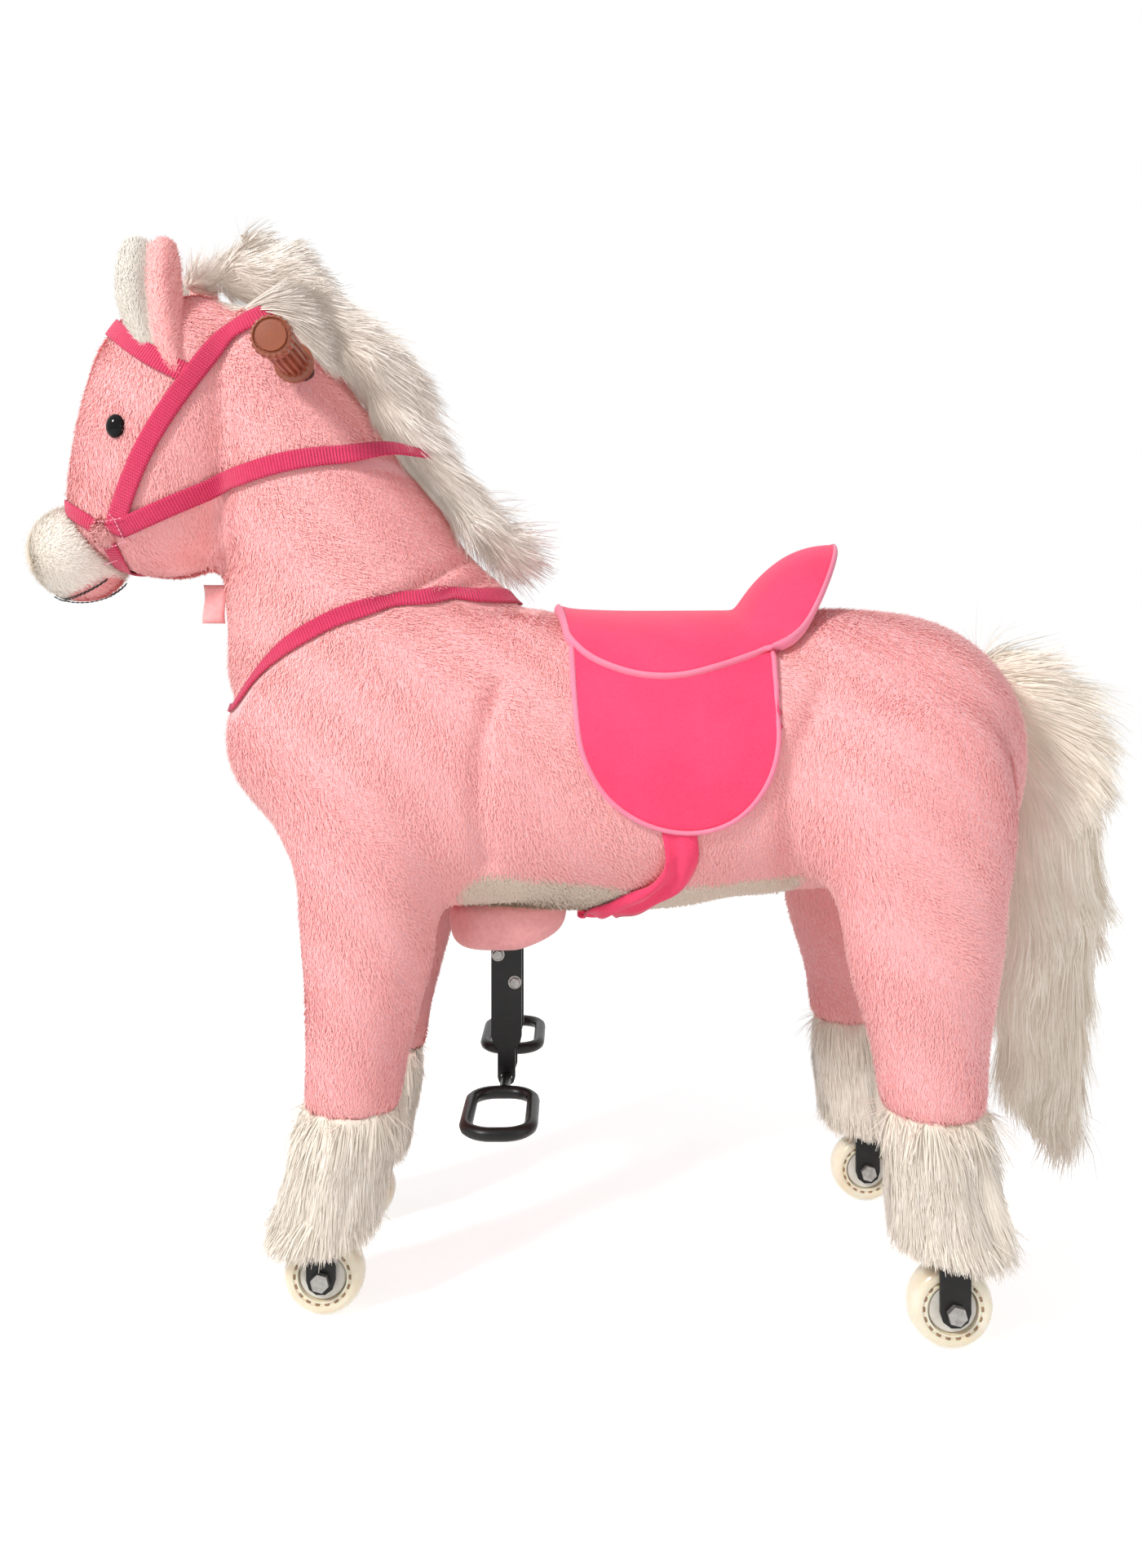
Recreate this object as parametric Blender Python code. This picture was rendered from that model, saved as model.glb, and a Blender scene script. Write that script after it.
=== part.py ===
"""A plush pony that a child rides: steel frame, swinging legs on castors, foot lever and steered head.

Metres, +Z up. The pony faces -X and its left side is at -Y. The origin is on the floor, under the middle
of its length. Soft pieces are lofts through rings, and a smaller one is cut to lie on a larger one.
"""

import math

import bmesh
import bpy
from mathutils import Matrix, Vector

for old in list(bpy.data.objects):
    bpy.data.objects.remove(old, do_unlink=True)

# Clearances
SEAT_GAP = 0.0003
RUNNING_GAP = 0.0006
SWING_GAP = 0.003
OVERRUN = 0.010

# Trunk
CHEST_X = -0.295
RUMP_X = 0.381
BELLY_HEIGHT = 0.3075
TRUNK_DEPTH = 0.2625
TRUNK_HALF_WIDTH = 0.145
CAVITY_HALF_WIDTH = 0.050
BELLY_THICKNESS = 0.0275
CAVITY_FRONT_X = -0.185
CAVITY_REAR_X = 0.310

# Neck seam and steering: the head turns about an axis square to the seam
SEAM_SLOPE = math.radians(22)
STEER_X = -0.1353
STEER_DROP = 0.026
STEER_RISE = 0.234
NECK_SIZE = 0.300
NECK_HALF_WIDTH = 0.105
HEAD_SIZE = 0.240
HEAD_BASE_X = -0.300
HEAD_BASE_RISE = 0.056
HEAD_HALF_WIDTH = 0.073
CHEEK_SEAM_LEAN = 0.162

# Muzzle, eyes and ears
MUZZLE_X = -0.427
MUZZLE_RISE = 0.017
MUZZLE_RADIUS = 0.044
MUZZLE_HALF_WIDTH = 0.050
EYE_X = -0.374
EYE_RISE = 0.114
EYE_Y = 0.056
EYE_HALF_LENGTH = 0.008
EYE_HALF_HEIGHT = 0.010
EYE_HALF_DEPTH = 0.014
EAR_HEIGHT = 0.105
EAR_BASE_X = -0.325
EAR_RISE = 0.170
EAR_Y = 0.050
EAR_HALF_WIDTH = 0.026
EAR_HALF_THICKNESS = 0.008

# Mane and tail
MANE_HALF_WIDTH = 0.034
TAIL_LENGTH = 0.430
TAIL_ROOT_X = 0.352
TAIL_DROP = 0.025
TAIL_HALF_WIDTH = 0.038

# Straps
WEBBING_WIDTH = 0.016
WEBBING_THICKNESS = 0.0022
CHEST_STRAP_WIDTH = 0.013
GIRTH_WIDTH = 0.022
SEAM_MARGIN = 0.0012

# Saddle
SKIRT_THICKNESS = 0.005
SKIRT_FRONT_X = -0.002
SKIRT_REAR_X = 0.159
SKIRT_DROP = 0.180
SKIRT_OVERLAP = 0.030
SADDLE_PAD = 0.008
SEAT_FRONT_X = -0.011
SEAT_REAR_X = 0.190
SEAT_EDGE_DROP = 0.057
CANTLE_HEIGHT = 0.056
CANTLE_REACH = 0.040
CANTLE_HALF_SPAN = 0.098
CANTLE_THICKNESS = 0.012

# Frame
SPINE_RISE = 0.1125
SPINE_HALF_WIDTH = 0.020
SPINE_HALF_HEIGHT = 0.0125
SLEEVE_RADIUS = 0.014
SLEEVE_HALF_LENGTH = 0.028
HEAD_TUBE_RADIUS = 0.017
HEAD_TUBE_LENGTH = 0.115
HEAD_TUBE_DROP = 0.010
STEM_RADIUS = 0.011
BAR_RADIUS = 0.010
BAR_HALF_LENGTH = 0.135
COLLAR_RADIUS = 0.016
COLLAR_LENGTH = 0.012
SEAT_BOARD_LENGTH = 0.200
SEAT_BOARD_WIDTH = 0.090
SEAT_BOARD_THICKNESS = 0.010
SEAT_BOARD_RISE = 0.095
SEAT_BOARD_X = 0.085
POST_RADIUS = 0.010
POST_SPREAD = 0.055

# Handle grips
GRIP_RADIUS = 0.0132
GRIP_FLUTE = 0.0011
GRIP_START = 0.073
GRIP_END = 0.146
GRIP_FLANGE_RADIUS = 0.0165
GRIP_FLANGE = 0.004
GRIP_CAP_RADIUS = 0.0112
GRIP_CAP = 0.005
GRIP_FLUTES = 11

# Legs: each pair turns on a shaft across the frame
FRONT_PIVOT_X = -0.155
REAR_PIVOT_X = 0.262
SHAFT_RADIUS = 0.006
FRONT_LEG_Y = 0.078
REAR_LEG_Y = 0.125
FRONT_LEG_HALF_WIDTH = 0.050
REAR_LEG_HALF_WIDTH = 0.052
FRONT_LEG_LENGTH = 0.255
REAR_LEG_LENGTH = 0.240
FRONT_THIGH_RADIUS = 0.070
REAR_THIGH_RADIUS = 0.080
LEG_TUBE_RADIUS = 0.011
FETLOCK_LENGTH = 0.115
FETLOCK_BOTTOM = 0.050
SWING_ANGLE = math.radians(12)

# Wheels and forks
WHEEL_RADIUS = 0.0325
WHEEL_HALF_WIDTH = 0.012
TYRE_DEPTH = 0.009
HUB_RIM_DEPTH = 0.003
FRONT_WHEEL_X = -0.197
REAR_WHEEL_X = 0.287
FORK_PLATE_THICKNESS = 0.003
FORK_PLATE_HALF_WIDTH = 0.0115
FORK_SIDE_GAP = 0.002
FORK_TOP_GAP = 0.004
FORK_CROWN = 0.004
SWIVEL_STEM_RADIUS = 0.006
SWIVEL_STEM_LENGTH = 0.030
SOCKET_RADIUS = 0.012
SOCKET_LENGTH = 0.042
AXLE_RADIUS = 0.004
AXLE_HEAD_RADIUS = 0.0075
AXLE_HEAD = 0.0045

# Foot lever and links
LEVER_X = -0.055
LEVER_DROP = 0.060
LEVER_Y = 0.019
HANGER_HALF_WIDTH = 0.013
HANGER_THICKNESS = 0.005
HANGER_LENGTH = 0.170
HANGER_TAB_HALF_WIDTH = 0.0075
LEVER_PIN_RADIUS = 0.004
LINK_PIN_RADIUS = 0.003
PIN_HEAD_RADIUS = 0.0065
PIN_HEAD = 0.003
FRONT_CRANK = 0.040
REAR_CRANK = 0.030
LINK_HALF_THICKNESS = 0.003
LINK_HALF_HEIGHT = 0.005
LINK_EYE_RADIUS = 0.008
CRANK_THICKNESS = 0.004
CRANK_HALF_WIDTH = 0.008
CRANK_SIDE_GAP = 0.0015
BRACKET_HALF_WIDTH = 0.013
CROSS_ROD_RADIUS = 0.0045
TAB_DROP = 0.022
LOOP_ROD_RADIUS = 0.0045
LOOP_HALF_LENGTH = 0.030
LOOP_INNER_Y = 0.052
LOOP_OUTER_Y = 0.152
LOOP_CORNER = 0.018
SLEEVE_DROP = 0.0305
SLEEVE_HALF_X = 0.050
SLEEVE_HALF_Y = 0.044
SLEEVE_WALL = 0.003
SLOT_HALF_X = 0.0465
SLOT_HALF_Y = 0.036

# Smoothness
RING = 20
SOFT_RING = 16
ROUND = 14
SMALL_ROUND = 10
ROD_ROUND = 8
WHEEL_ROUND = 14
TYRE_ROUND = 22
HEX = 6
ARC_STEPS = 5
BALL_ROWS = 8
FLAT_ANGLE = math.radians(35)

# Places worked out from the sizes above
TRUNK_LENGTH = RUMP_X - CHEST_X
BACK_HEIGHT = BELLY_HEIGHT + TRUNK_DEPTH
CAVITY_FLOOR = BELLY_HEIGHT + BELLY_THICKNESS
SPINE_Z = BELLY_HEIGHT + SPINE_RISE
PIVOT_Z = SPINE_Z
SEAT_BOARD_TOP = SPINE_Z + SEAT_BOARD_RISE
STEER_Z = BACK_HEIGHT - STEER_DROP
HEAD_BASE_Z = STEER_Z + HEAD_BASE_RISE
MUZZLE_Z = HEAD_BASE_Z + MUZZLE_RISE
EYE_Z = HEAD_BASE_Z + EYE_RISE
EAR_BASE_Z = HEAD_BASE_Z + EAR_RISE
TAIL_TOP_Z = BACK_HEIGHT - TAIL_DROP
SKIRT_BOTTOM_Z = BACK_HEIGHT - SKIRT_DROP
SKIRT_TOP_Z = BACK_HEIGHT + SKIRT_OVERLAP
SEAT_EDGE_Z = BACK_HEIGHT - SEAT_EDGE_DROP
LEVER_Z = SPINE_Z - LEVER_DROP
HANGER_BOTTOM = LEVER_Z - HANGER_LENGTH
CROSS_ROD_Z = HANGER_BOTTOM - TAB_DROP
SLEEVE_BOTTOM = BELLY_HEIGHT - SLEEVE_DROP
STEER_AXIS = Vector((-math.sin(SEAM_SLOPE), 0, math.cos(SEAM_SLOPE)))
SEAM_ALONG = Vector((math.cos(SEAM_SLOPE), 0, math.sin(SEAM_SLOPE)))
STEER_POINT = Vector((STEER_X, 0, STEER_Z))
HANDLE_POINT = STEER_POINT + STEER_AXIS * STEER_RISE
SIDE = Vector((0, 1, 0))
FORE = Vector((1, 0, 0))
UP = Vector((0, 0, 1))
FORK_INNER = WHEEL_HALF_WIDTH + FORK_SIDE_GAP
FORK_OUTER = FORK_INNER + FORK_PLATE_THICKNESS
CROWN_BOTTOM = 2 * WHEEL_RADIUS + FORK_TOP_GAP
CROWN_TOP = CROWN_BOTTOM + FORK_CROWN
FRONT_HEM = PIVOT_Z - FRONT_LEG_LENGTH
REAR_HEM = PIVOT_Z - REAR_LEG_LENGTH

PINK = (0.93, 0.45, 0.47)
CREAM = (0.80, 0.75, 0.66)
HOT_PINK = (0.93, 0.06, 0.20)
MAGENTA = (0.80, 0.03, 0.16)
BLACK_PAINT = (0.02, 0.02, 0.02)
ZINC = (0.60, 0.60, 0.58)
BROWN = (0.35, 0.10, 0.05)
TYRE_AMBER = (0.80, 0.72, 0.55)
HUB_WHITE = (0.85, 0.85, 0.82)
EYE_BLACK = (0.01, 0.01, 0.01)
PLY = (0.60, 0.42, 0.24)
PALE_PINK = (0.93, 0.55, 0.58)


def material(name, colour, roughness, metallic=0.0):
    """A Principled material, made once for each finish."""
    found = bpy.data.materials.get(name)
    if found:
        return found
    made = bpy.data.materials.new(name)
    made.use_nodes = True
    shader = made.node_tree.nodes["Principled BSDF"]
    shader.inputs["Base Color"].default_value = (*colour, 1)
    shader.inputs["Roughness"].default_value = roughness
    shader.inputs["Metallic"].default_value = metallic
    made.diffuse_color = (*colour, 1)
    return made


def finish_mesh(name, shape):
    """Turns a bmesh into a mesh with its faces pointing out and its round sides smooth."""
    bmesh.ops.recalc_face_normals(shape, faces=shape.faces)
    mesh = bpy.data.meshes.new(name)
    shape.to_mesh(mesh)
    shape.free()
    mesh.shade_smooth()
    mesh.set_sharp_from_angle(angle=FLAT_ANGLE)
    return mesh


def helper(name, mesh):
    """A hidden object that only cuts or joins others."""
    made = bpy.data.objects.new(name, mesh)
    made.hide_render = True
    made.display_type = "WIRE"
    bpy.context.collection.objects.link(made)
    return made


def piece(name, mesh, finish, pivot):
    """A sub-part of the pony, parented to the empty on its joint's axis."""
    made = bpy.data.objects.new(name, mesh)
    bpy.context.collection.objects.link(made)
    made.data.materials.append(finish)
    made.parent = pivot
    made.matrix_parent_inverse = pivot.matrix_world.inverted()
    return made


def pivot_empty(name, place):
    made = bpy.data.objects.new(name, None)
    made.location = place
    bpy.context.collection.objects.link(made)
    bpy.context.view_layer.update()
    return made


def combine(target, tool, operation):
    step = target.modifiers.new(f"{operation.lower()} {tool.name}", "BOOLEAN")
    step.operation = operation
    step.solver = "EXACT"
    step.object = tool


def cut(target, *tools):
    for tool in tools:
        combine(target, tool, "DIFFERENCE")


def join(target, *tools):
    for tool in tools:
        combine(target, tool, "UNION")


def keep_inside(target, tool):
    combine(target, tool, "INTERSECT")


def loft_mesh(name, rings):
    """A closed skin through rings of as many points each, with flat ends. A swollen copy has like triangles."""
    shape = bmesh.new()
    loops = [[shape.verts.new(point) for point in ring] for ring in rings]
    count = len(loops[0])
    for near, far in zip(loops, loops[1:]):
        for i in range(count):
            j = (i + 1) % count
            shape.faces.new((near[i], near[j], far[j]))
            shape.faces.new((near[i], far[j], far[i]))
    shape.faces.new(loops[0])
    shape.faces.new(loops[-1])
    return finish_mesh(name, shape)


def oval(centre, half_u, half_v, u_axis=FORE, v_axis=SIDE, count=RING, power=2.0):
    """Points on a superellipse about the centre."""
    points = []
    for i in range(count):
        angle = 2 * math.pi * i / count
        c, s = math.cos(angle), math.sin(angle)
        across = math.copysign(abs(c) ** (2 / power), c)
        along = math.copysign(abs(s) ** (2 / power), s)
        points.append(centre + u_axis * (half_u * across) + v_axis * (half_v * along))
    return points


DOME_SHARES = (0.0, 0.45, 0.78, 0.96)


def paired_rings(pairs, widths, grow, dome_start, dome_end, count=RING):
    """Rings whose edges pass through a front and a back point each, with domed ends."""
    middles = []
    for (front, back), width in zip(pairs, widths):
        f, b = Vector((front[0], 0, front[1])), Vector((back[0], 0, back[1]))
        half = (b - f) / 2
        middles.append(((f + b) / 2, half.length, half.normalized(), width))
    first = (middles[0][0] - middles[1][0]).normalized()
    last = (middles[-1][0] - middles[-2][0]).normalized()
    rings = []
    for share in reversed(DOME_SHARES):
        centre, half, across, width = middles[0]
        scale = math.sqrt(1 - share * share)
        place = centre + first * (share * (dome_start + grow))
        rings.append(oval(place, (half + grow) * scale, (width + grow) * scale, across, count=count))
    for centre, half, across, width in middles[1:-1]:
        rings.append(oval(centre, half + grow, width + grow, across, count=count))
    for share in DOME_SHARES:
        centre, half, across, width = middles[-1]
        scale = math.sqrt(1 - share * share)
        place = centre + last * (share * (dome_end + grow))
        rings.append(oval(place, (half + grow) * scale, (width + grow) * scale, across, count=count))
    return rings


def rod_mesh(name, start, end, radius, sides=ROUND, end_radius=None):
    """A round bar between two points."""
    along = (end - start).normalized()
    across = along.orthogonal().normalized()
    beside = along.cross(across)
    tip = radius if end_radius is None else end_radius
    rings = [oval(start, radius, radius, across, beside, sides),
             oval(end, tip, tip, across, beside, sides)]
    return loft_mesh(name, rings)


def plate_mesh(name, outline, low, high, plane="XZ"):
    """An outline pushed through a thickness: (X, Z) points along Y, or (X, Y) points along Z."""
    def placed(a, b, t):
        return Vector((a, t, b)) if plane == "XZ" else Vector((a, b, t))
    rings = [[placed(a, b, t) for a, b in outline] for t in (low, high)]
    return loft_mesh(name, rings)


def box_mesh(name, low, high):
    outline = [(low[0], low[2]), (high[0], low[2]), (high[0], high[2]), (low[0], high[2])]
    return plate_mesh(name, outline, low[1], high[1])


def arc(centre, radius, start, end, steps=ARC_STEPS):
    return [(centre[0] + radius * math.cos(start + (end - start) * i / steps),
             centre[1] + radius * math.sin(start + (end - start) * i / steps)) for i in range(steps + 1)]


def turned_mesh(name, profile, centre, axis=SIDE, sides=ROUND):
    """A ring turned about an axis: the profile's (radius, distance along the axis) points close on themselves."""
    across = axis.orthogonal().normalized()
    beside = axis.cross(across)
    shape = bmesh.new()
    loops = []
    for i in range(sides):
        angle = 2 * math.pi * i / sides
        out = across * math.cos(angle) + beside * math.sin(angle)
        loops.append([shape.verts.new(centre + out * r + axis * t) for r, t in profile])
    for i in range(sides):
        near, far = loops[i], loops[(i + 1) % sides]
        for j in range(len(profile)):
            k = (j + 1) % len(profile)
            shape.faces.new((near[j], near[k], far[k], far[j]))
    return finish_mesh(name, shape)


def spots(shares, origin, size):
    return [(origin[0] + u * size, origin[1] + v * size) for u, v in shares]


# Bodies: an empty stands on the axis of each joint
chassis = pivot_empty("chassis_origin", Vector((0, 0, SPINE_Z)))
steering = pivot_empty("steering_axis", STEER_POINT)
front_swing = pivot_empty("front_leg_axis", Vector((FRONT_PIVOT_X, 0, PIVOT_Z)))
rear_swing = pivot_empty("rear_leg_axis", Vector((REAR_PIVOT_X, 0, PIVOT_Z)))
lever_swing = pivot_empty("lever_axis", Vector((LEVER_X, 0, LEVER_Z)))

plush = material("pink plush", PINK, 0.95)
fur = material("cream fur", CREAM, 0.9)
saddle_cloth = material("saddle cloth", HOT_PINK, 0.8)
webbing = material("webbing", MAGENTA, 0.6)
pale_cloth = material("pale cloth", PALE_PINK, 0.85)
black_steel = material("black steel", BLACK_PAINT, 0.35, 0.3)
zinc = material("zinc", ZINC, 0.3, 1.0)
grip_plastic = material("brown plastic", BROWN, 0.25)
tyre_rubber = material("amber tyre", TYRE_AMBER, 0.3)
hub_plastic = material("white hub", HUB_WHITE, 0.4)
eye_gloss = material("eye gloss", EYE_BLACK, 0.05)
plywood = material("plywood", PLY, 0.7)

# Trunk: along the body, each row gives a place and the top, bottom and width as shares
TRUNK_SHARES = (
    (0.017, 0.810, 0.410, 0.42), (0.075, 0.962, 0.238, 0.66), (0.147, 1.057, 0.105, 0.79),
    (0.262, 1.057, 0.025, 0.86), (0.378, 1.019, 0.006, 0.88), (0.522, 0.996, 0.000, 0.88),
    (0.666, 0.996, 0.055, 0.92), (0.795, 0.996, 0.078, 0.98), (0.875, 0.975, 0.086, 0.96),
    (0.932, 0.909, 0.124, 0.84), (0.976, 0.790, 0.246, 0.60),
)
TRUNK_POWER = 2.25
TRUNK_DOME = 0.008


def trunk_mesh(name, grow=0.0):
    """The barrel from chest to rump, swollen by an amount for the pieces that lie on it."""
    rings = []
    for i, (along, top, bottom, width) in enumerate(TRUNK_SHARES):
        x = CHEST_X + along * TRUNK_LENGTH
        z_top = BELLY_HEIGHT + top * TRUNK_DEPTH
        z_bottom = BELLY_HEIGHT + bottom * TRUNK_DEPTH
        middle = Vector((x, 0, (z_top + z_bottom) / 2))
        half = (z_top - z_bottom) / 2 + grow
        wide = width * TRUNK_HALF_WIDTH + grow
        ends = {0: -1, len(TRUNK_SHARES) - 1: 1}
        if i in ends:
            domes = DOME_SHARES[1:] if i else reversed(DOME_SHARES[1:])
            outer = [oval(middle + FORE * (ends[i] * share * (TRUNK_DOME + grow)),
                          half * math.sqrt(1 - share * share), wide * math.sqrt(1 - share * share),
                          UP, SIDE, power=TRUNK_POWER) for share in domes]
            own = [oval(middle, half, wide, UP, SIDE, power=TRUNK_POWER)]
            rings += own + outer if i else outer + own
        else:
            rings.append(oval(middle, half, wide, UP, SIDE, power=TRUNK_POWER))
    return loft_mesh(name, rings)


def seam_slab(name, low, high):
    """The space between two heights along the steering axis, wider than the pony."""
    reach = SEAM_ALONG * TRUNK_LENGTH
    wide = SIDE * TRUNK_LENGTH
    rings = []
    for height in (low, high):
        middle = STEER_POINT + STEER_AXIS * height
        rings.append([middle - reach - wide, middle + reach - wide, middle + reach + wide,
                      middle - reach + wide])
    return loft_mesh(name, rings)


trunk_gap = helper("trunk_with_gap", trunk_mesh("trunk_with_gap", SEAT_GAP))
above_seam = helper("above_seam", seam_slab("above_seam", -SEAT_GAP, TRUNK_LENGTH))
below_seam = helper("below_seam", seam_slab("below_seam", -TRUNK_LENGTH, SEAT_GAP))

trunk = piece("trunk_plush", trunk_mesh("trunk_plush"), plush, chassis)
cut(trunk, above_seam)
cavity_top = SEAT_BOARD_TOP + SEAT_GAP
cavity = helper("trunk_cavity", box_mesh(
    "trunk_cavity", (CAVITY_FRONT_X, -CAVITY_HALF_WIDTH, CAVITY_FLOOR),
    (CAVITY_REAR_X, CAVITY_HALF_WIDTH, SPINE_Z + 3 * SPINE_HALF_HEIGHT)))
board_room = helper("board_room", box_mesh(
    "board_room",
    (SEAT_BOARD_X - SEAT_BOARD_LENGTH / 2 - SEAT_GAP, -SEAT_BOARD_WIDTH / 2 - SEAT_GAP, SPINE_Z),
    (SEAT_BOARD_X + SEAT_BOARD_LENGTH / 2 + SEAT_GAP, SEAT_BOARD_WIDTH / 2 + SEAT_GAP, cavity_top)))
lever_slot = helper("lever_slot", plate_mesh(
    "lever_slot",
    [(LEVER_X + p.x, p.y) for p in oval(Vector(), SLOT_HALF_X, SLOT_HALF_Y, power=4.0)],
    BELLY_HEIGHT - OVERRUN, SPINE_Z, "XY"))
cut(trunk, cavity, board_room, lever_slot)

# Each thigh turns in a pocket: an arc about the pivot above, and room for the swing below
POCKET_FLARE_SHARE = 0.14


def pocket(name, pivot_x, radius, inner_y, sign, closing):
    """The room in the trunk for one thigh: closing is +1 where the leg swings towards +X."""
    reach = radius + SWING_GAP
    flare = POCKET_FLARE_SHARE * (PIVOT_Z - BELLY_HEIGHT)
    floor = BELLY_HEIGHT - OVERRUN
    outline = arc((pivot_x, PIVOT_Z), reach, 0, math.pi, 2 * ARC_STEPS)
    ahead, behind = (0, flare) if closing > 0 else (flare, 0)
    outline += [(pivot_x - reach - ahead, floor), (pivot_x + reach + behind, floor)]
    low, high = sorted((sign * inner_y, sign * (TRUNK_HALF_WIDTH + 2 * OVERRUN)))
    return helper(name, plate_mesh(name, outline, low, high))


front_inner = FRONT_LEG_Y - FRONT_LEG_HALF_WIDTH - SWING_GAP
rear_inner = REAR_LEG_Y - REAR_LEG_HALF_WIDTH - SWING_GAP
for side, sign in (("left", -1), ("right", 1)):
    cut(trunk, pocket(f"front_pocket_{side}", FRONT_PIVOT_X, FRONT_THIGH_RADIUS, front_inner, sign, 1))
    cut(trunk, pocket(f"rear_pocket_{side}", REAR_PIVOT_X, REAR_THIGH_RADIUS, rear_inner, sign, -1))
shaft_reach = SIDE * (rear_inner + OVERRUN)
rear_pivot = Vector((REAR_PIVOT_X, 0, PIVOT_Z))
cut(trunk, helper("rear_shaft_bore", rod_mesh(
    "rear_shaft_bore", rear_pivot - shaft_reach, rear_pivot + shaft_reach, SHAFT_RADIUS + RUNNING_GAP)))
head_tube_top = STEER_POINT - STEER_AXIS * HEAD_TUBE_DROP
head_tube_bottom = head_tube_top - STEER_AXIS * HEAD_TUBE_LENGTH
cut(trunk, helper("head_tube_room", rod_mesh(
    "head_tube_room", head_tube_bottom, STEER_POINT + STEER_AXIS * OVERRUN, HEAD_TUBE_RADIUS + SEAT_GAP)))


# Frame: a spine with a sleeve at each leg shaft, a head tube, a lever bracket and two posts
def main_frame():
    frame = piece("main_frame", box_mesh(
        "main_frame", (FRONT_PIVOT_X, -SPINE_HALF_WIDTH, SPINE_Z - SPINE_HALF_HEIGHT),
        (REAR_PIVOT_X, SPINE_HALF_WIDTH, SPINE_Z + SPINE_HALF_HEIGHT)), black_steel, chassis)
    for label, x in (("front", FRONT_PIVOT_X), ("rear", REAR_PIVOT_X)):
        middle, half = Vector((x, 0, PIVOT_Z)), SIDE * SLEEVE_HALF_LENGTH
        join(frame, helper(f"{label}_sleeve", rod_mesh(
            f"{label}_sleeve", middle - half, middle + half, SLEEVE_RADIUS)))
    join(frame, helper("head_tube", rod_mesh("head_tube", head_tube_bottom, head_tube_top, HEAD_TUBE_RADIUS)))
    bracket = [(LEVER_X - BRACKET_HALF_WIDTH, SPINE_Z), (LEVER_X - BRACKET_HALF_WIDTH, LEVER_Z)]
    bracket += arc((LEVER_X, LEVER_Z), BRACKET_HALF_WIDTH, math.pi, 2 * math.pi)
    bracket += [(LEVER_X + BRACKET_HALF_WIDTH, SPINE_Z)]
    half = LEVER_Y - HANGER_THICKNESS / 2 - RUNNING_GAP
    join(frame, helper("lever_bracket", plate_mesh("lever_bracket", bracket, -half, half)))
    for label, x in (("front", SEAT_BOARD_X - POST_SPREAD), ("rear", SEAT_BOARD_X + POST_SPREAD)):
        foot = Vector((x, 0, SPINE_Z))
        top = Vector((x, 0, SEAT_BOARD_TOP - SEAT_BOARD_THICKNESS - SEAT_GAP))
        join(frame, helper(f"{label}_post", rod_mesh(f"{label}_post", foot, top, POST_RADIUS, SMALL_ROUND)))
    for label, x in (("front", FRONT_PIVOT_X), ("rear", REAR_PIVOT_X)):
        middle, half = Vector((x, 0, PIVOT_Z)), SIDE * (SLEEVE_HALF_LENGTH + OVERRUN)
        cut(frame, helper(f"{label}_sleeve_bore", rod_mesh(
            f"{label}_sleeve_bore", middle - half, middle + half, SHAFT_RADIUS + RUNNING_GAP)))
    slot = LINK_HALF_THICKNESS + 2 * CRANK_SIDE_GAP + CRANK_THICKNESS
    back = FRONT_PIVOT_X + SLEEVE_RADIUS + CRANK_SIDE_GAP
    cut(frame, helper("crank_slot", box_mesh(
        "crank_slot", (FRONT_PIVOT_X - SLEEVE_RADIUS - OVERRUN, -slot, PIVOT_Z - SLEEVE_RADIUS - OVERRUN),
        (back, slot, PIVOT_Z + SLEEVE_RADIUS + OVERRUN))))
    cut(frame, helper("stem_bore", rod_mesh(
        "stem_bore", head_tube_bottom - STEER_AXIS * OVERRUN, head_tube_top + STEER_AXIS * OVERRUN,
        STEM_RADIUS + RUNNING_GAP)))
    middle, half = Vector((LEVER_X, 0, LEVER_Z)), SIDE * (LEVER_Y + OVERRUN)
    cut(frame, helper("lever_bore", rod_mesh(
        "lever_bore", middle - half, middle + half, LEVER_PIN_RADIUS + SEAT_GAP, SMALL_ROUND)))
    return frame


main_frame()
board_x = (SEAT_BOARD_X - SEAT_BOARD_LENGTH / 2, SEAT_BOARD_X + SEAT_BOARD_LENGTH / 2)
piece("seat_board", box_mesh(
    "seat_board", (board_x[0], -SEAT_BOARD_WIDTH / 2, SEAT_BOARD_TOP - SEAT_BOARD_THICKNESS),
    (board_x[1], SEAT_BOARD_WIDTH / 2, SEAT_BOARD_TOP)), plywood, chassis)


# Straps and saddle: slices of a swollen trunk, cut back to lie on it
def trunk_cover(name, thickness, outline_tool, finish, base=SEAT_GAP):
    """What lies between the trunk, lifted by the base, and a thicker trunk, inside an outline."""
    cover = piece(name, trunk_mesh(name, base + thickness), finish, chassis)
    keep_inside(cover, outline_tool)
    cut(cover, helper(f"{name}_base", trunk_mesh(f"{name}_base", base)))
    return cover


chest_band = helper("chest_band", seam_slab("chest_band", -SEAM_MARGIN - CHEST_STRAP_WIDTH, -SEAM_MARGIN))
chest_strap = trunk_cover("chest_strap", WEBBING_THICKNESS, chest_band, webbing)

wide_y = TRUNK_HALF_WIDTH + 2 * OVERRUN
skirt_mid = (SKIRT_FRONT_X + SKIRT_REAR_X) / 2
skirt_half = (SKIRT_REAR_X - SKIRT_FRONT_X) / 2
SKIRT_SQUARE_SHARE = 0.52
skirt_drop = SKIRT_TOP_Z - SKIRT_BOTTOM_Z
skirt_outline = [(SKIRT_FRONT_X, SKIRT_TOP_Z)]
for i in range(2 * ARC_STEPS + 1):
    turn = math.pi + math.pi * i / (2 * ARC_STEPS)
    skirt_outline.append((skirt_mid + skirt_half * math.cos(turn),
                          SKIRT_BOTTOM_Z + SKIRT_SQUARE_SHARE * skirt_drop * (1 + math.sin(turn))))
skirt_outline.append((SKIRT_REAR_X, SKIRT_TOP_Z))
skirt_tool = helper("skirt_outline", plate_mesh("skirt_outline", skirt_outline, -wide_y, wide_y))
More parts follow.
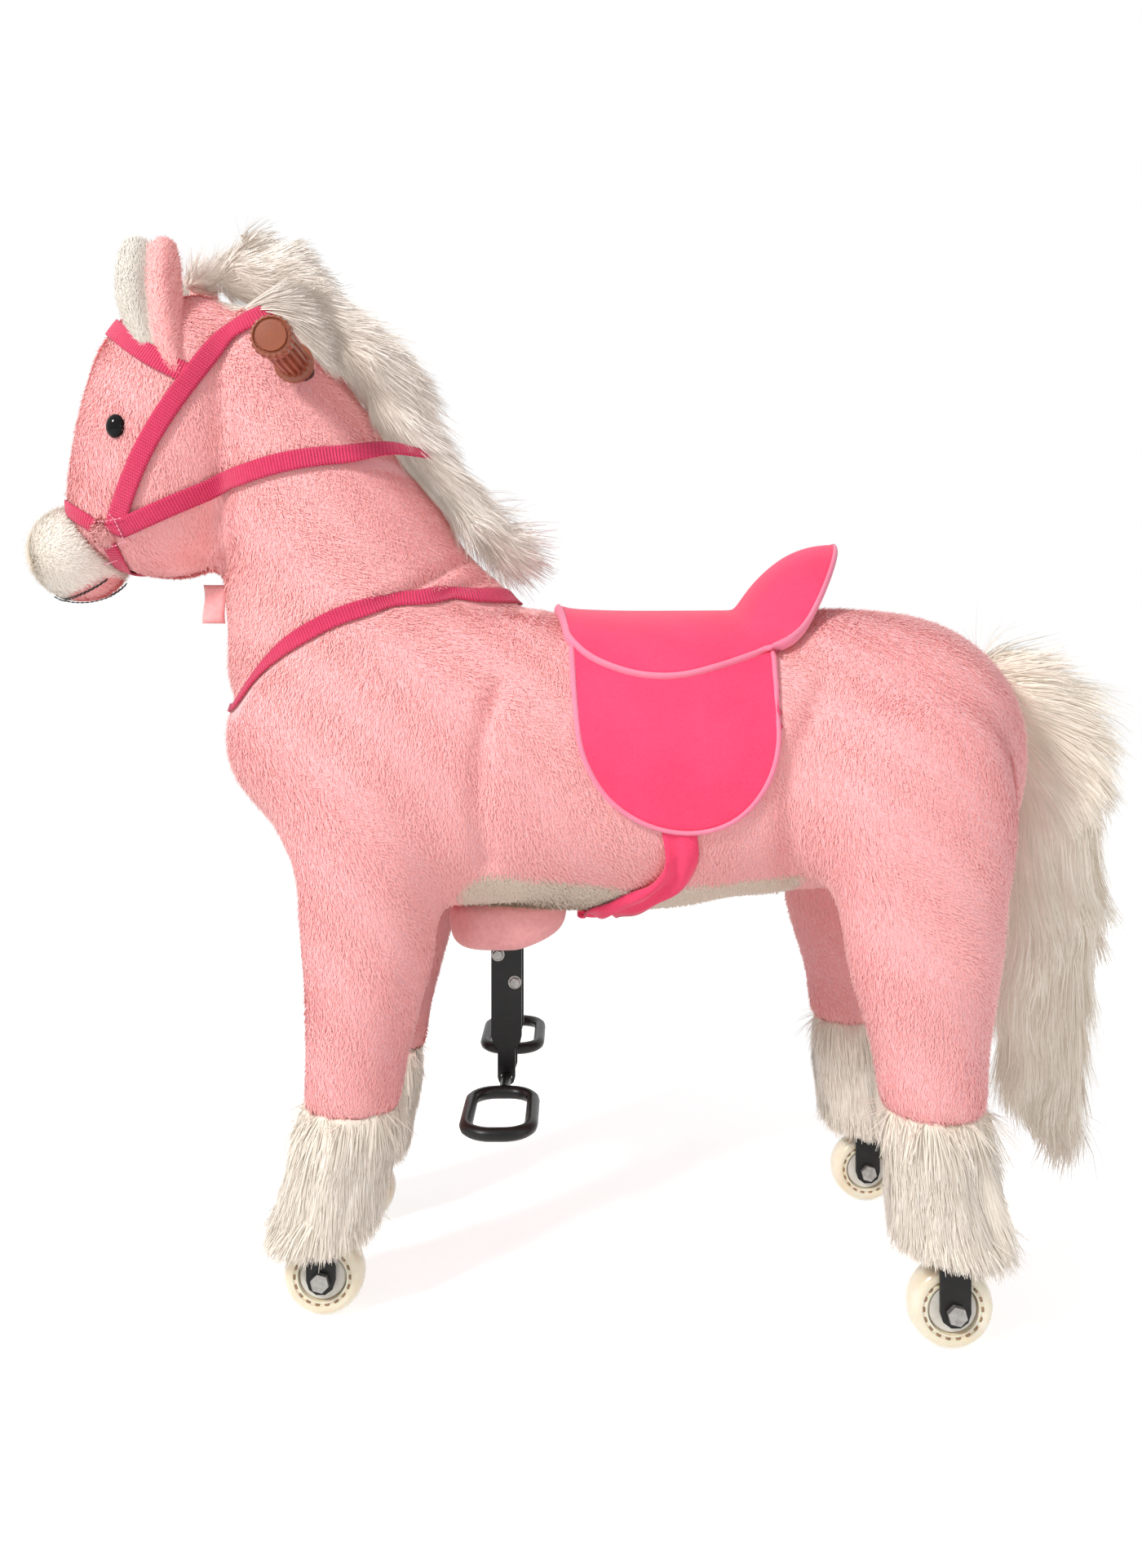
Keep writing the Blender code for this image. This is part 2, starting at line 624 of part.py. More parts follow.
trunk_cover("saddle_skirt", SKIRT_THICKNESS, skirt_tool, saddle_cloth)

SEAT_OUTLINE_SHARES = (
    (0.00, 1.00), (0.00, 0.66), (0.10, 0.42), (0.24, 0.14), (0.42, 0.00), (0.64, 0.00), (0.84, 0.16),
    (1.00, 0.34), (1.00, 1.00),
)
seat_length = SEAT_REAR_X - SEAT_FRONT_X
seat_drop = SKIRT_TOP_Z - SEAT_EDGE_Z
seat_outline = [(SEAT_FRONT_X + u * seat_length, SEAT_EDGE_Z + v * seat_drop) for u, v in SEAT_OUTLINE_SHARES]
seat_tool = helper("seat_outline", plate_mesh("seat_outline", seat_outline, -wide_y, wide_y))
seat_base = 2 * SEAT_GAP + SKIRT_THICKNESS
saddle = trunk_cover("saddle_seat", SADDLE_PAD, seat_tool, saddle_cloth, seat_base)


def cantle_mesh():
    """The seat's upturned rear edge: high in the middle, falling to the sides, leaning back."""
    rings = []
    steps = 2 * ARC_STEPS
    for i in range(steps + 1):
        across = -1 + 2 * i / steps
        rise = CANTLE_HEIGHT * max(math.cos(across * math.pi / 2), 0) ** (1 / 2) + SADDLE_PAD
        lean = CANTLE_REACH * rise / CANTLE_HEIGHT
        foot_z = BACK_HEIGHT - SADDLE_PAD - TRUNK_HALF_WIDTH * (1 - math.cos(across)) / 2
        foot_x = SEAT_REAR_X - CANTLE_THICKNESS - OVERRUN * across * across
        y = across * CANTLE_HALF_SPAN
        rings.append([Vector((foot_x, y, foot_z)),
                      Vector((foot_x + CANTLE_THICKNESS, y, foot_z)),
                      Vector((foot_x + CANTLE_THICKNESS + lean, y, foot_z + rise)),
                      Vector((foot_x + lean, y, foot_z + rise + CANTLE_THICKNESS / 2))])
    return loft_mesh("cantle", rings)


join(saddle, helper("cantle", cantle_mesh()))
cut(saddle, helper("saddle_under", trunk_mesh("saddle_under", seat_base)))

# Girth: from the skirt down the sides, under the belly behind the lever
GIRTH_SHARES = ((0.50, 0.10), (0.54, -0.22), (0.36, -0.62), (0.03, -1.05))
girth_drop = SKIRT_BOTTOM_Z - BELLY_HEIGHT
girth_middle = [(u * (SKIRT_REAR_X - SKIRT_FRONT_X) + GIRTH_WIDTH / 2, SKIRT_BOTTOM_Z + v * girth_drop)
                for u, v in GIRTH_SHARES]
girth_middle.append((girth_middle[-1][0], BELLY_HEIGHT - OVERRUN))


def band_outline(middle, width):
    """The two edges of a flat band that follows points in the side view."""
    ahead, behind = [], []
    for i, (x, z) in enumerate(middle):
        x0, z0 = middle[max(i - 1, 0)]
        x1, z1 = middle[min(i + 1, len(middle) - 1)]
        length = math.hypot(x1 - x0, z1 - z0)
        nx, nz = (z1 - z0) / length * width / 2, -(x1 - x0) / length * width / 2
        ahead.append((x - nx, z - nz))
        behind.append((x + nx, z + nz))
    return ahead + behind[::-1]


girth_tool = helper("girth_outline", plate_mesh(
    "girth_outline", band_outline(girth_middle, GIRTH_WIDTH), -wide_y, wide_y))
girth = trunk_cover("girth_strap", WEBBING_THICKNESS, girth_tool, saddle_cloth)
skirt_room = helper("skirt_room", plate_mesh("skirt_room", [
    (SKIRT_FRONT_X, SKIRT_TOP_Z), (SKIRT_FRONT_X, SKIRT_BOTTOM_Z - SEAT_GAP),
    (SKIRT_REAR_X, SKIRT_BOTTOM_Z - SEAT_GAP), (SKIRT_REAR_X, SKIRT_TOP_Z)], -wide_y, wide_y))
cut(girth, skirt_room)

# Lever sleeve: an open cloth tube under the belly
sleeve_top = BELLY_HEIGHT + OVERRUN
sleeve_ring = [(LEVER_X + p.x, p.y) for p in oval(Vector(), SLEEVE_HALF_X, SLEEVE_HALF_Y, power=3.0)]
sleeve = piece("lever_sleeve", plate_mesh("lever_sleeve", sleeve_ring, SLEEVE_BOTTOM, sleeve_top, "XY"),
               pale_cloth, chassis)
sleeve_hole = [(LEVER_X + p.x, p.y) for p in oval(
    Vector(), SLEEVE_HALF_X - SLEEVE_WALL, SLEEVE_HALF_Y - SLEEVE_WALL, power=3.0)]
cut(sleeve, helper("sleeve_hole", plate_mesh(
    "sleeve_hole", sleeve_hole, SLEEVE_BOTTOM - OVERRUN, sleeve_top + OVERRUN, "XY")), trunk_gap)

# Neck, head and the pieces on them
NECK_FRONT_SHARES = ((-0.532, -0.210), (-0.546, 0.020), (-0.566, 0.220), (-0.599, 0.387), (-0.616, 0.553),
                     (-0.599, 0.737), (-0.516, 0.887))
NECK_BACK_SHARES = ((0.308, 0.113), (0.158, 0.230), (0.068, 0.387), (-0.032, 0.520), (-0.142, 0.660),
                    (-0.239, 0.803), (-0.322, 0.913))
NECK_WIDTH_SHARES = (1.00, 0.86, 0.75, 0.69, 0.66, 0.62, 0.52)
NECK_DOME = 0.018
HEAD_FRONT_SHARES = ((-0.150, 0.985), (-0.330, 0.935), (-0.462, 0.760), (-0.514, 0.560), (-0.546, 0.375),
                     (-0.550, 0.271))
HEAD_BACK_SHARES = ((0.158, 0.833), (0.208, 0.583), (0.158, 0.292), (0.021, 0.050), (-0.187, -0.033),
                    (-0.325, -0.008))
HEAD_WIDTH_SHARES = (0.62, 0.90, 1.00, 0.96, 0.80, 0.64)
HEAD_DOME = 0.012


def neck_mesh(name, grow=0.0):
    origin = (STEER_X, STEER_Z)
    pairs = list(zip(spots(NECK_FRONT_SHARES, origin, NECK_SIZE), spots(NECK_BACK_SHARES, origin, NECK_SIZE)))
    widths = [share * NECK_HALF_WIDTH for share in NECK_WIDTH_SHARES]
    return loft_mesh(name, paired_rings(pairs, widths, grow, NECK_DOME, NECK_DOME))


def head_mesh(name, grow=0.0):
    origin = (HEAD_BASE_X, HEAD_BASE_Z)
    pairs = list(zip(spots(HEAD_FRONT_SHARES, origin, HEAD_SIZE), spots(HEAD_BACK_SHARES, origin, HEAD_SIZE)))
    widths = [share * HEAD_HALF_WIDTH for share in HEAD_WIDTH_SHARES]
    return loft_mesh(name, paired_rings(pairs, widths, grow, HEAD_DOME, HEAD_DOME))


def cheek_side(name, ahead):
    """Everything ahead of the cheek seam, or behind it, short of the seam by half a gap."""
    reach = NECK_SIZE
    shift = -SEAT_GAP / 2 if ahead else SEAT_GAP / 2
    far = -2 * reach if ahead else 2 * reach
    low, high = -reach, 2 * reach
    base = HEAD_BASE_X + shift
    outline = [(base + CHEEK_SEAM_LEAN * low, HEAD_BASE_Z + low), (base + far, HEAD_BASE_Z + low),
               (base + far, HEAD_BASE_Z + high), (base + CHEEK_SEAM_LEAN * high, HEAD_BASE_Z + high)]
    return helper(name, plate_mesh(name, outline, -reach, reach))


ahead_of_cheek = cheek_side("ahead_of_cheek", True)
behind_cheek = cheek_side("behind_cheek", False)
neck = piece("neck_plush", neck_mesh("neck_plush"), plush, steering)
cut(neck, below_seam)
keep_inside(neck, behind_cheek)
head = piece("head_plush", head_mesh("head_plush"), plush, steering)
keep_inside(head, ahead_of_cheek)
neck_gap = helper("neck_with_gap", neck_mesh("neck_with_gap", SEAT_GAP))
head_gap = helper("head_with_gap", head_mesh("head_with_gap", SEAT_GAP))

# Steering stem with its handlebar
stem_bottom = head_tube_bottom - STEER_AXIS * SEAT_GAP
stem = piece("steering_stem", rod_mesh("steering_stem", stem_bottom, HANDLE_POINT, STEM_RADIUS),
             black_steel, steering)
collar_base = head_tube_top + STEER_AXIS * SEAT_GAP
join(stem, helper("stem_collar", rod_mesh(
    "stem_collar", collar_base, collar_base + STEER_AXIS * COLLAR_LENGTH, COLLAR_RADIUS)))
bar_half = SIDE * BAR_HALF_LENGTH
join(stem, helper("handlebar", rod_mesh(
    "handlebar", HANDLE_POINT - bar_half, HANDLE_POINT + bar_half, BAR_RADIUS)))
cut(neck,
    helper("stem_room", rod_mesh("stem_room", head_tube_top, HANDLE_POINT, STEM_RADIUS + SEAT_GAP)),
    helper("collar_room", rod_mesh("collar_room", head_tube_top,
                                   collar_base + STEER_AXIS * (COLLAR_LENGTH + SEAT_GAP),
                                   COLLAR_RADIUS + SEAT_GAP)),
    helper("bar_room", rod_mesh("bar_room", HANDLE_POINT - bar_half, HANDLE_POINT + bar_half,
                                BAR_RADIUS + SEAT_GAP)))


def grip_mesh(name, sign):
    """A fluted grip with a flange at the inner end and a domed cap, hollow for the bar."""
    sides = 2 * GRIP_FLUTES

    def ring(radius, distance, flute=0.0):
        middle = HANDLE_POINT + SIDE * (sign * distance)
        points = []
        for i in range(sides):
            angle = 2 * math.pi * i / sides
            r = radius - (flute if i % 2 else 0)
            points.append(middle + FORE * (r * math.cos(angle)) + UP * (r * math.sin(angle)))
        return points

    flange_end = GRIP_START + GRIP_FLANGE
    cap_start = GRIP_END - GRIP_CAP
    bore = BAR_RADIUS + SEAT_GAP
    bottom = BAR_HALF_LENGTH + SEAT_GAP
    rings = [
        ring(bore, bottom), ring(bore, GRIP_START), ring(GRIP_FLANGE_RADIUS, GRIP_START),
        ring(GRIP_FLANGE_RADIUS, flange_end), ring(GRIP_RADIUS, flange_end, GRIP_FLUTE),
        ring(GRIP_RADIUS, cap_start, GRIP_FLUTE), ring(GRIP_CAP_RADIUS, cap_start),
        ring(GRIP_CAP_RADIUS, GRIP_END - GRIP_CAP / 3), ring(GRIP_CAP_RADIUS * 2 / 3, GRIP_END),
    ]
    return loft_mesh(name, rings)


for side, sign in (("left", -1), ("right", 1)):
    piece(f"handle_grip_{side}", grip_mesh(f"handle_grip_{side}", sign), grip_plastic, steering)


def ball_mesh(name, centre, half_x, half_y, half_z, rows=BALL_ROWS):
    """An egg of rings with small flat poles at its sides."""
    rings = []
    pole = math.pi / (2 * rows)
    for i in range(rows + 1):
        angle = pole + (math.pi - 2 * pole) * i / rows
        ring = math.sin(angle)
        rings.append(oval(centre + SIDE * (-half_y * math.cos(angle)), half_x * ring, half_z * ring, FORE, UP,
                          SOFT_RING))
    return loft_mesh(name, rings)


muzzle = piece("muzzle", ball_mesh("muzzle", Vector((MUZZLE_X, 0, MUZZLE_Z)), MUZZLE_RADIUS,
                                   MUZZLE_HALF_WIDTH, MUZZLE_RADIUS), fur, steering)
cut(muzzle, head_gap)
for side, sign in (("left", -1), ("right", 1)):
    eye = piece(f"eye_{side}", ball_mesh(f"eye_{side}", Vector((EYE_X, sign * EYE_Y, EYE_Z)),
                                         EYE_HALF_LENGTH, EYE_HALF_DEPTH, EYE_HALF_HEIGHT, ARC_STEPS),
                eye_gloss, steering)
    cut(eye, head_gap)

# Ears: height, shift forward, width and thickness as shares
EAR_SHARES = ((0.00, 0.00, 0.50, 0.90), (0.22, -0.16, 0.82, 1.00), (0.50, -0.28, 1.00, 1.00),
              (0.76, -0.26, 0.78, 0.85), (0.92, -0.20, 0.42, 0.70))
EAR_TIP_SHARE = 0.08


def ear_mesh(name, sign):
    rings = []
    base = Vector((EAR_BASE_X, sign * EAR_Y, EAR_BASE_Z))
    for height, ahead, width, thickness in EAR_SHARES:
        centre = base + UP * (height * EAR_HEIGHT) + FORE * (ahead * EAR_HEIGHT)
        rings.append(oval(centre, width * EAR_HALF_WIDTH, thickness * EAR_HALF_THICKNESS, count=SOFT_RING))
    height, ahead, width, thickness = EAR_SHARES[-1]
    tip = base + UP * ((height + EAR_TIP_SHARE) * EAR_HEIGHT) + FORE * (ahead * EAR_HEIGHT)
    rings.append(oval(tip, width * EAR_HALF_WIDTH / 2, thickness * EAR_HALF_THICKNESS / 2, count=SOFT_RING))
    return loft_mesh(name, rings)


for side, sign in (("left", -1), ("right", 1)):
    ear = piece(f"ear_{side}", ear_mesh(f"ear_{side}", sign), plush, steering)
    cut(ear, head_gap)

# Bridle: bands across the side view that wrap the head and neck, as shares of the head
BROW_SHARES = ((-0.60, 0.93), (-0.40, 0.79), (-0.16, 0.66), (0.00, 0.60))
CHEEK_SHARES = ((0.30, 1.12), (0.18, 0.94), (0.04, 0.70), (-0.12, 0.45), (-0.25, 0.24), (-0.29, 0.12))
NOSE_SHARES = ((-0.66, 0.34), (-0.50, 0.26), (-0.29, 0.12), (-0.24, -0.12))
REIN_SHARES = ((-0.27, 0.12), (0.00, 0.21), (0.24, 0.30), (0.48, 0.345), (0.64, 0.325), (0.80, 0.26),
               (0.94, 0.18), (1.10, 0.08))


def band_area(name, bands, width):
    """Bands in the side view, pushed across the whole head."""
    tools = []
    for i, band in enumerate(bands):
        outline = band_outline(spots(band, (HEAD_BASE_X, HEAD_BASE_Z), HEAD_SIZE), width)
        tools.append(helper(f"{name}_{i}", plate_mesh(f"{name}_{i}", outline, -NECK_SIZE, NECK_SIZE)))
    join(tools[0], *tools[1:])
    return tools[0]


def strap_shell(name, bands):
    """The webbing along some bands, over the head and neck together."""
    lift = SEAT_GAP + WEBBING_THICKNESS
    made = piece(name, head_mesh(name, lift), webbing, steering)
    join(made, helper(f"{name}_neck", neck_mesh(f"{name}_neck", lift)))
    keep_inside(made, band_area(f"{name}_band", bands, WEBBING_WIDTH))
    cut(made, head_gap, neck_gap)
    return made


bridle_bands = (NOSE_SHARES, CHEEK_SHARES, BROW_SHARES)
bridle = strap_shell("bridle", bridle_bands)
reins = strap_shell("reins", (REIN_SHARES,))
cut(reins, band_area("bridle_room", bridle_bands, WEBBING_WIDTH + 2 * SEAT_GAP))
muzzle_gap = helper("muzzle_with_gap", ball_mesh(
    "muzzle_with_gap", Vector((MUZZLE_X, 0, MUZZLE_Z)), MUZZLE_RADIUS + SEAT_GAP,
    MUZZLE_HALF_WIDTH + SEAT_GAP, MUZZLE_RADIUS + SEAT_GAP))
cut(bridle, muzzle_gap)

# Mane: outer and inner edges in the side view, as shares of the neck, with widths
MANE_OUTER_SHARES = ((-0.665, 1.060), (-0.500, 1.187), (-0.350, 1.163), (-0.182, 1.003), (-0.049, 0.837),
                     (0.058, 0.637), (0.144, 0.487), (0.278, 0.320))
MANE_INNER_SHARES = ((-0.632, 0.937), (-0.516, 0.937), (-0.350, 0.887), (-0.232, 0.770), (-0.132, 0.637),
                     (-0.042, 0.487), (0.034, 0.370), (0.151, 0.247))
MANE_WIDTH_SHARES = (0.60, 0.88, 1.00, 1.00, 0.94, 0.88, 0.80, 0.65)
MANE_DOME = 0.012
mane_pairs = list(zip(spots(MANE_OUTER_SHARES, (STEER_X, STEER_Z), NECK_SIZE),
                      spots(MANE_INNER_SHARES, (STEER_X, STEER_Z), NECK_SIZE)))
mane = piece("mane", loft_mesh("mane", paired_rings(
    mane_pairs, [share * MANE_HALF_WIDTH for share in MANE_WIDTH_SHARES], 0, MANE_DOME, MANE_DOME, SOFT_RING)),
    fur, steering)
lift = 2 * SEAT_GAP + WEBBING_THICKNESS
cut(mane, helper("head_under_mane", head_mesh("head_under_mane", lift)),
    helper("neck_under_mane", neck_mesh("neck_under_mane", lift)))

# Tail: outer and inner edges as shares of its length, with widths
TAIL_OUTER_SHARES = ((0.107, 0.000), (0.212, -0.093), (0.260, -0.244), (0.263, -0.407), (0.247, -0.570),
                     (0.237, -0.721), (0.216, -0.860), (0.202, -0.965))
TAIL_INNER_SHARES = ((0.014, -0.093), (0.077, -0.174), (0.081, -0.279), (0.074, -0.407), (0.060, -0.570),
                     (0.049, -0.721), (0.058, -0.849), (0.107, -0.953))
TAIL_WIDTH_SHARES = (0.48, 0.80, 0.95, 1.00, 0.96, 0.90, 0.74, 0.48)
TAIL_DOME = 0.022
tail_pairs = list(zip(spots(TAIL_OUTER_SHARES, (TAIL_ROOT_X, TAIL_TOP_Z), TAIL_LENGTH),
                      spots(TAIL_INNER_SHARES, (TAIL_ROOT_X, TAIL_TOP_Z), TAIL_LENGTH)))
tail = piece("tail", loft_mesh("tail", paired_rings(
    tail_pairs, [share * TAIL_HALF_WIDTH for share in TAIL_WIDTH_SHARES], 0, TAIL_DOME, TAIL_DOME, SOFT_RING)),
    fur, chassis)
cut(tail, trunk_gap)

# Legs: height above the hem, shift along X, depth and width as shares of the leg's own sizes
FRONT_LEG_SHARES = ((0.000, -0.290, 0.540, 0.70), (0.170, -0.240, 0.600, 0.78), (0.410, -0.120, 0.735, 0.90),
                    (0.660, -0.090, 0.890, 0.98), (0.850, -0.030, 0.960, 1.00), (1.000, 0.000, 0.985, 0.98))
REAR_LEG_SHARES = ((0.000, 0.170, 0.480, 0.74), (0.170, 0.140, 0.540, 0.80), (0.410, 0.070, 0.690, 0.92),
                   (0.660, 0.060, 0.850, 1.00), (0.850, 0.020, 0.960, 1.00), (1.000, 0.000, 0.985, 0.98))
THIGH_DOME_SHARES = (0.45, 0.75, 0.93)
TUBE_FOOT_RISE = 0.010


def leg_mesh(name, shares, pivot_x, leg_y, hem, length, radius, half_width):
    """A plush leg that swells from the hem to the thigh, round about the pivot at the top."""
    rings = []
    for height, shift, depth, width in shares:
        centre = Vector((pivot_x + shift * radius, leg_y, hem + height * length))
        rings.append(oval(centre, depth * radius, width * half_width, count=SOFT_RING))
    for share in THIGH_DOME_SHARES:
        scale = math.sqrt(1 - share * share)
        centre = Vector((pivot_x, leg_y, PIVOT_Z + share * radius))
        rings.append(oval(centre, radius * scale * shares[-1][2], half_width * scale * shares[-1][3],
                          count=SOFT_RING))
    return loft_mesh(name, rings)


# Fetlock: height, depth and width as shares
FETLOCK_SHARES = ((0.00, 0.84, 0.86), (0.25, 1.00, 1.00), (0.62, 0.98, 0.98), (1.00, 0.90, 0.90))
FETLOCK_RADIUS = 0.046
FETLOCK_HALF_WIDTH = 0.042
FETLOCK_WELL = 0.0315


def fetlock_mesh(name, wheel_x, leg_y, top_x, hem):
    """The fur cuff from the hem to just over the wheel."""
    bottom = FETLOCK_BOTTOM
    height = hem - SEAT_GAP - bottom
    rings = []
    for up, depth, width in FETLOCK_SHARES:
        x = wheel_x + (top_x - wheel_x) * up
        rings.append(oval(Vector((x, leg_y, bottom + up * height)), depth * FETLOCK_RADIUS,
                          width * FETLOCK_HALF_WIDTH, count=SOFT_RING))
    return loft_mesh(name, rings)


def fork_parts(label, wheel_x, y):
    """Two side plates under a crown, round at the foot."""
    axle = (wheel_x, WHEEL_RADIUS)
    half = FORK_PLATE_HALF_WIDTH
    outline = [(wheel_x + half, CROWN_TOP), (wheel_x - half, CROWN_TOP)]
    outline += arc(axle, half, math.pi, 2 * math.pi)
    plates = [plate_mesh(f"{label}_plate_{i}", outline, y + low, y + high) for i, (low, high) in enumerate(
        ((-FORK_OUTER, -FORK_INNER), (FORK_INNER, FORK_OUTER)))]
    crown = box_mesh(f"{label}_crown", (wheel_x - half, y - FORK_OUTER + SEAT_GAP, CROWN_BOTTOM),
                     (wheel_x + half, y + FORK_OUTER - SEAT_GAP, CROWN_TOP - SEAT_GAP))
    return plates, crown


def wheel(label, wheel_x, y, sign, fork_pivot):
    """Tyre, hub and bolt of one castor, with its own pivot on the axle."""
    centre = Vector((wheel_x, y, WHEEL_RADIUS))
    spin = pivot_empty(f"{label}_wheel_axis", centre)
    rim = WHEEL_RADIUS - TYRE_DEPTH
    shoulder = WHEEL_HALF_WIDTH / 3
    flat = WHEEL_HALF_WIDTH - shoulder
    tyre_profile = [(rim, -WHEEL_HALF_WIDTH), (WHEEL_RADIUS - shoulder, -WHEEL_HALF_WIDTH),
                    (WHEEL_RADIUS, -flat), (WHEEL_RADIUS, flat),
                    (WHEEL_RADIUS - shoulder, WHEEL_HALF_WIDTH), (rim, WHEEL_HALF_WIDTH)]
    piece(f"{label}_tyre", turned_mesh(f"{label}_tyre", tyre_profile, centre, sides=TYRE_ROUND),
          tyre_rubber, spin)
    hub_rim = rim - SEAT_GAP
    bore = AXLE_RADIUS + SEAT_GAP
    boss = bore + 2 * HUB_RIM_DEPTH
    web = WHEEL_HALF_WIDTH / 3
    face = WHEEL_HALF_WIDTH + FORK_SIDE_GAP - RUNNING_GAP
    hub_profile = [(bore, -face), (boss, -face), (boss, -web), (hub_rim - HUB_RIM_DEPTH, -web),
                   (hub_rim - HUB_RIM_DEPTH, -WHEEL_HALF_WIDTH), (hub_rim, -WHEEL_HALF_WIDTH),
                   (hub_rim, WHEEL_HALF_WIDTH), (hub_rim - HUB_RIM_DEPTH, WHEEL_HALF_WIDTH),
                   (hub_rim - HUB_RIM_DEPTH, web), (boss, web), (boss, face), (bore, face)]
    piece(f"{label}_hub", turned_mesh(f"{label}_hub", hub_profile, centre, sides=WHEEL_ROUND), hub_plastic, spin)
    reach = SIDE * (FORK_OUTER + SEAT_GAP + AXLE_HEAD / 2)
    bolt = piece(f"{label}_axle_bolt", rod_mesh(
        f"{label}_axle_bolt", centre - reach, centre + reach, AXLE_RADIUS, SMALL_ROUND), zinc, fork_pivot)
    for end, way in (("head", sign), ("nut", -sign)):
        near = centre + SIDE * (way * (FORK_OUTER + SEAT_GAP))
        far = near + SIDE * (way * AXLE_HEAD)
        join(bolt, helper(f"{label}_bolt_{end}", rod_mesh(f"{label}_bolt_{end}", near, far,
                                                          AXLE_HEAD_RADIUS, HEX)))


def axle_holes(target, label, wheel_x, y):
    centre, reach = Vector((wheel_x, y, WHEEL_RADIUS)), SIDE * (FORK_OUTER + OVERRUN)
    cut(target, helper(f"{label}_axle_hole", rod_mesh(
        f"{label}_axle_hole", centre - reach, centre + reach, AXLE_RADIUS + SEAT_GAP, SMALL_ROUND)))


def crank(label, pivot_x, angle, length, low, high, pin_to):
    """A crank arm's pieces: a plate from the shaft to its pin, and the pin itself."""
    pivot = Vector((pivot_x, 0, PIVOT_Z))
    along = Vector((math.sin(angle), 0, -math.cos(angle)))
    tip = pivot + along * length
    beside = SIDE.cross(along)
    outline = []
    for centre, start in ((pivot, 0), (tip, math.pi)):
        for i in range(ARC_STEPS + 1):
            turn = start + math.pi * i / ARC_STEPS
            p = centre + beside * (CRANK_HALF_WIDTH * math.cos(turn)) - along * (CRANK_HALF_WIDTH * math.sin(turn))
            outline.append((p.x, p.z))
    arm = helper(f"{label}_crank", plate_mesh(f"{label}_crank", outline, low, high))
    middle = (low + high) / 2
    pin = helper(f"{label}_crank_pin", rod_mesh(f"{label}_crank_pin", tip + SIDE * middle, tip + SIDE * pin_to,
                                                LINK_PIN_RADIUS, SMALL_ROUND))
    return arm, pin, tip


def leg_pair(label, pivot, pivot_x, wheel_x, leg_y, half_width, hem, length, radius, shares):
    """Both legs of a pair, on the shaft that carries them."""
    shaft_end = SIDE * (leg_y - LEG_TUBE_RADIUS - SEAT_GAP)
    middle = Vector((pivot_x, 0, PIVOT_Z))
    shaft = piece(f"{label}_leg_shaft", rod_mesh(
        f"{label}_leg_shaft", middle - shaft_end, middle + shaft_end, SHAFT_RADIUS), zinc, pivot)
    for side, sign in (("left", -1), ("right", 1)):
        y = sign * leg_y
        name = f"{label}_{side}"
        top = Vector((pivot_x, y, PIVOT_Z + LEG_TUBE_RADIUS))
        bottom = CROWN_TOP + RUNNING_GAP
        foot = Vector((wheel_x, y, bottom + SOCKET_LENGTH - TUBE_FOOT_RISE))
        tube = piece(f"{label}_leg_tube_{side}", rod_mesh(
            f"{label}_leg_tube_{side}", top, foot, LEG_TUBE_RADIUS), black_steel, pivot)
        low, high = Vector((wheel_x, y, bottom)), Vector((wheel_x, y, bottom + SOCKET_LENGTH))
        join(tube, helper(f"{name}_socket", rod_mesh(f"{name}_socket", low, high, SOCKET_RADIUS)))
        leg = piece(f"{label}_leg_plush_{side}", leg_mesh(
            f"{label}_leg_plush_{side}", shares, pivot_x, y, hem, length, radius, half_width), plush, pivot)
        tube_room = rod_mesh(f"{name}_tube_room", top + UP * SEAT_GAP, foot, LEG_TUBE_RADIUS + SEAT_GAP)
        socket_room = rod_mesh(f"{name}_socket_room", low - UP * OVERRUN, high + UP * SEAT_GAP,
                               SOCKET_RADIUS + SEAT_GAP)
        rooms = [helper(f"{name}_tube_room", tube_room), helper(f"{name}_socket_room", socket_room)]
        shaft_room = helper(f"{name}_shaft_room", rod_mesh(
            f"{name}_shaft_room", middle, Vector((pivot_x, y, PIVOT_Z)), SHAFT_RADIUS + SEAT_GAP))
        cut(leg, *rooms, shaft_room)
        fetlock = piece(f"{label}_fetlock_{side}", fetlock_mesh(
            f"{label}_fetlock_{side}", wheel_x, y, pivot_x + shares[0][1] * radius, hem), fur, pivot)
        well = helper(f"{name}_well", rod_mesh(
            f"{name}_well", Vector((wheel_x, y, 0)), Vector((wheel_x, y, CROWN_TOP + SWING_GAP)), FETLOCK_WELL))
        cut(fetlock, *rooms, well)
        if label == "rear":
            plates, crown = fork_parts(name, wheel_x, y)
            join(tube, *[helper(mesh.name, mesh) for mesh in plates], helper(crown.name, crown))
            neck_low = Vector((wheel_x, y, CROWN_BOTTOM + FORK_CROWN / 2))
            join(tube, helper(f"{name}_neck", rod_mesh(
                f"{name}_neck", neck_low, low + UP * TUBE_FOOT_RISE, SWIVEL_STEM_RADIUS, SMALL_ROUND)))
            axle_holes(tube, name, wheel_x, y)
            wheel(name, wheel_x, y, sign, pivot)
        else:
            swivel = pivot_empty(f"{name}_fork_axis", Vector((wheel_x, y, CROWN_TOP)))
            bore_end = low + UP * (SWIVEL_STEM_LENGTH + RUNNING_GAP)
            cut(tube, helper(f"{name}_swivel_bore", rod_mesh(
                f"{name}_swivel_bore", low - UP * OVERRUN, bore_end, SWIVEL_STEM_RADIUS + RUNNING_GAP,
                SMALL_ROUND)))
            plates, crown = fork_parts(name, wheel_x, y)
            fork = piece(f"{label}_fork_{side}", crown, black_steel, swivel)
            join(fork, *[helper(mesh.name, mesh) for mesh in plates])
            stem_low = Vector((wheel_x, y, CROWN_BOTTOM + FORK_CROWN / 2))
            join(fork, helper(f"{name}_swivel_stem", rod_mesh(
                f"{name}_swivel_stem", stem_low, low + UP * SWIVEL_STEM_LENGTH, SWIVEL_STEM_RADIUS, SMALL_ROUND)))
            axle_holes(fork, name, wheel_x, y)
            wheel(name, wheel_x, y, sign, swivel)
    return shaft


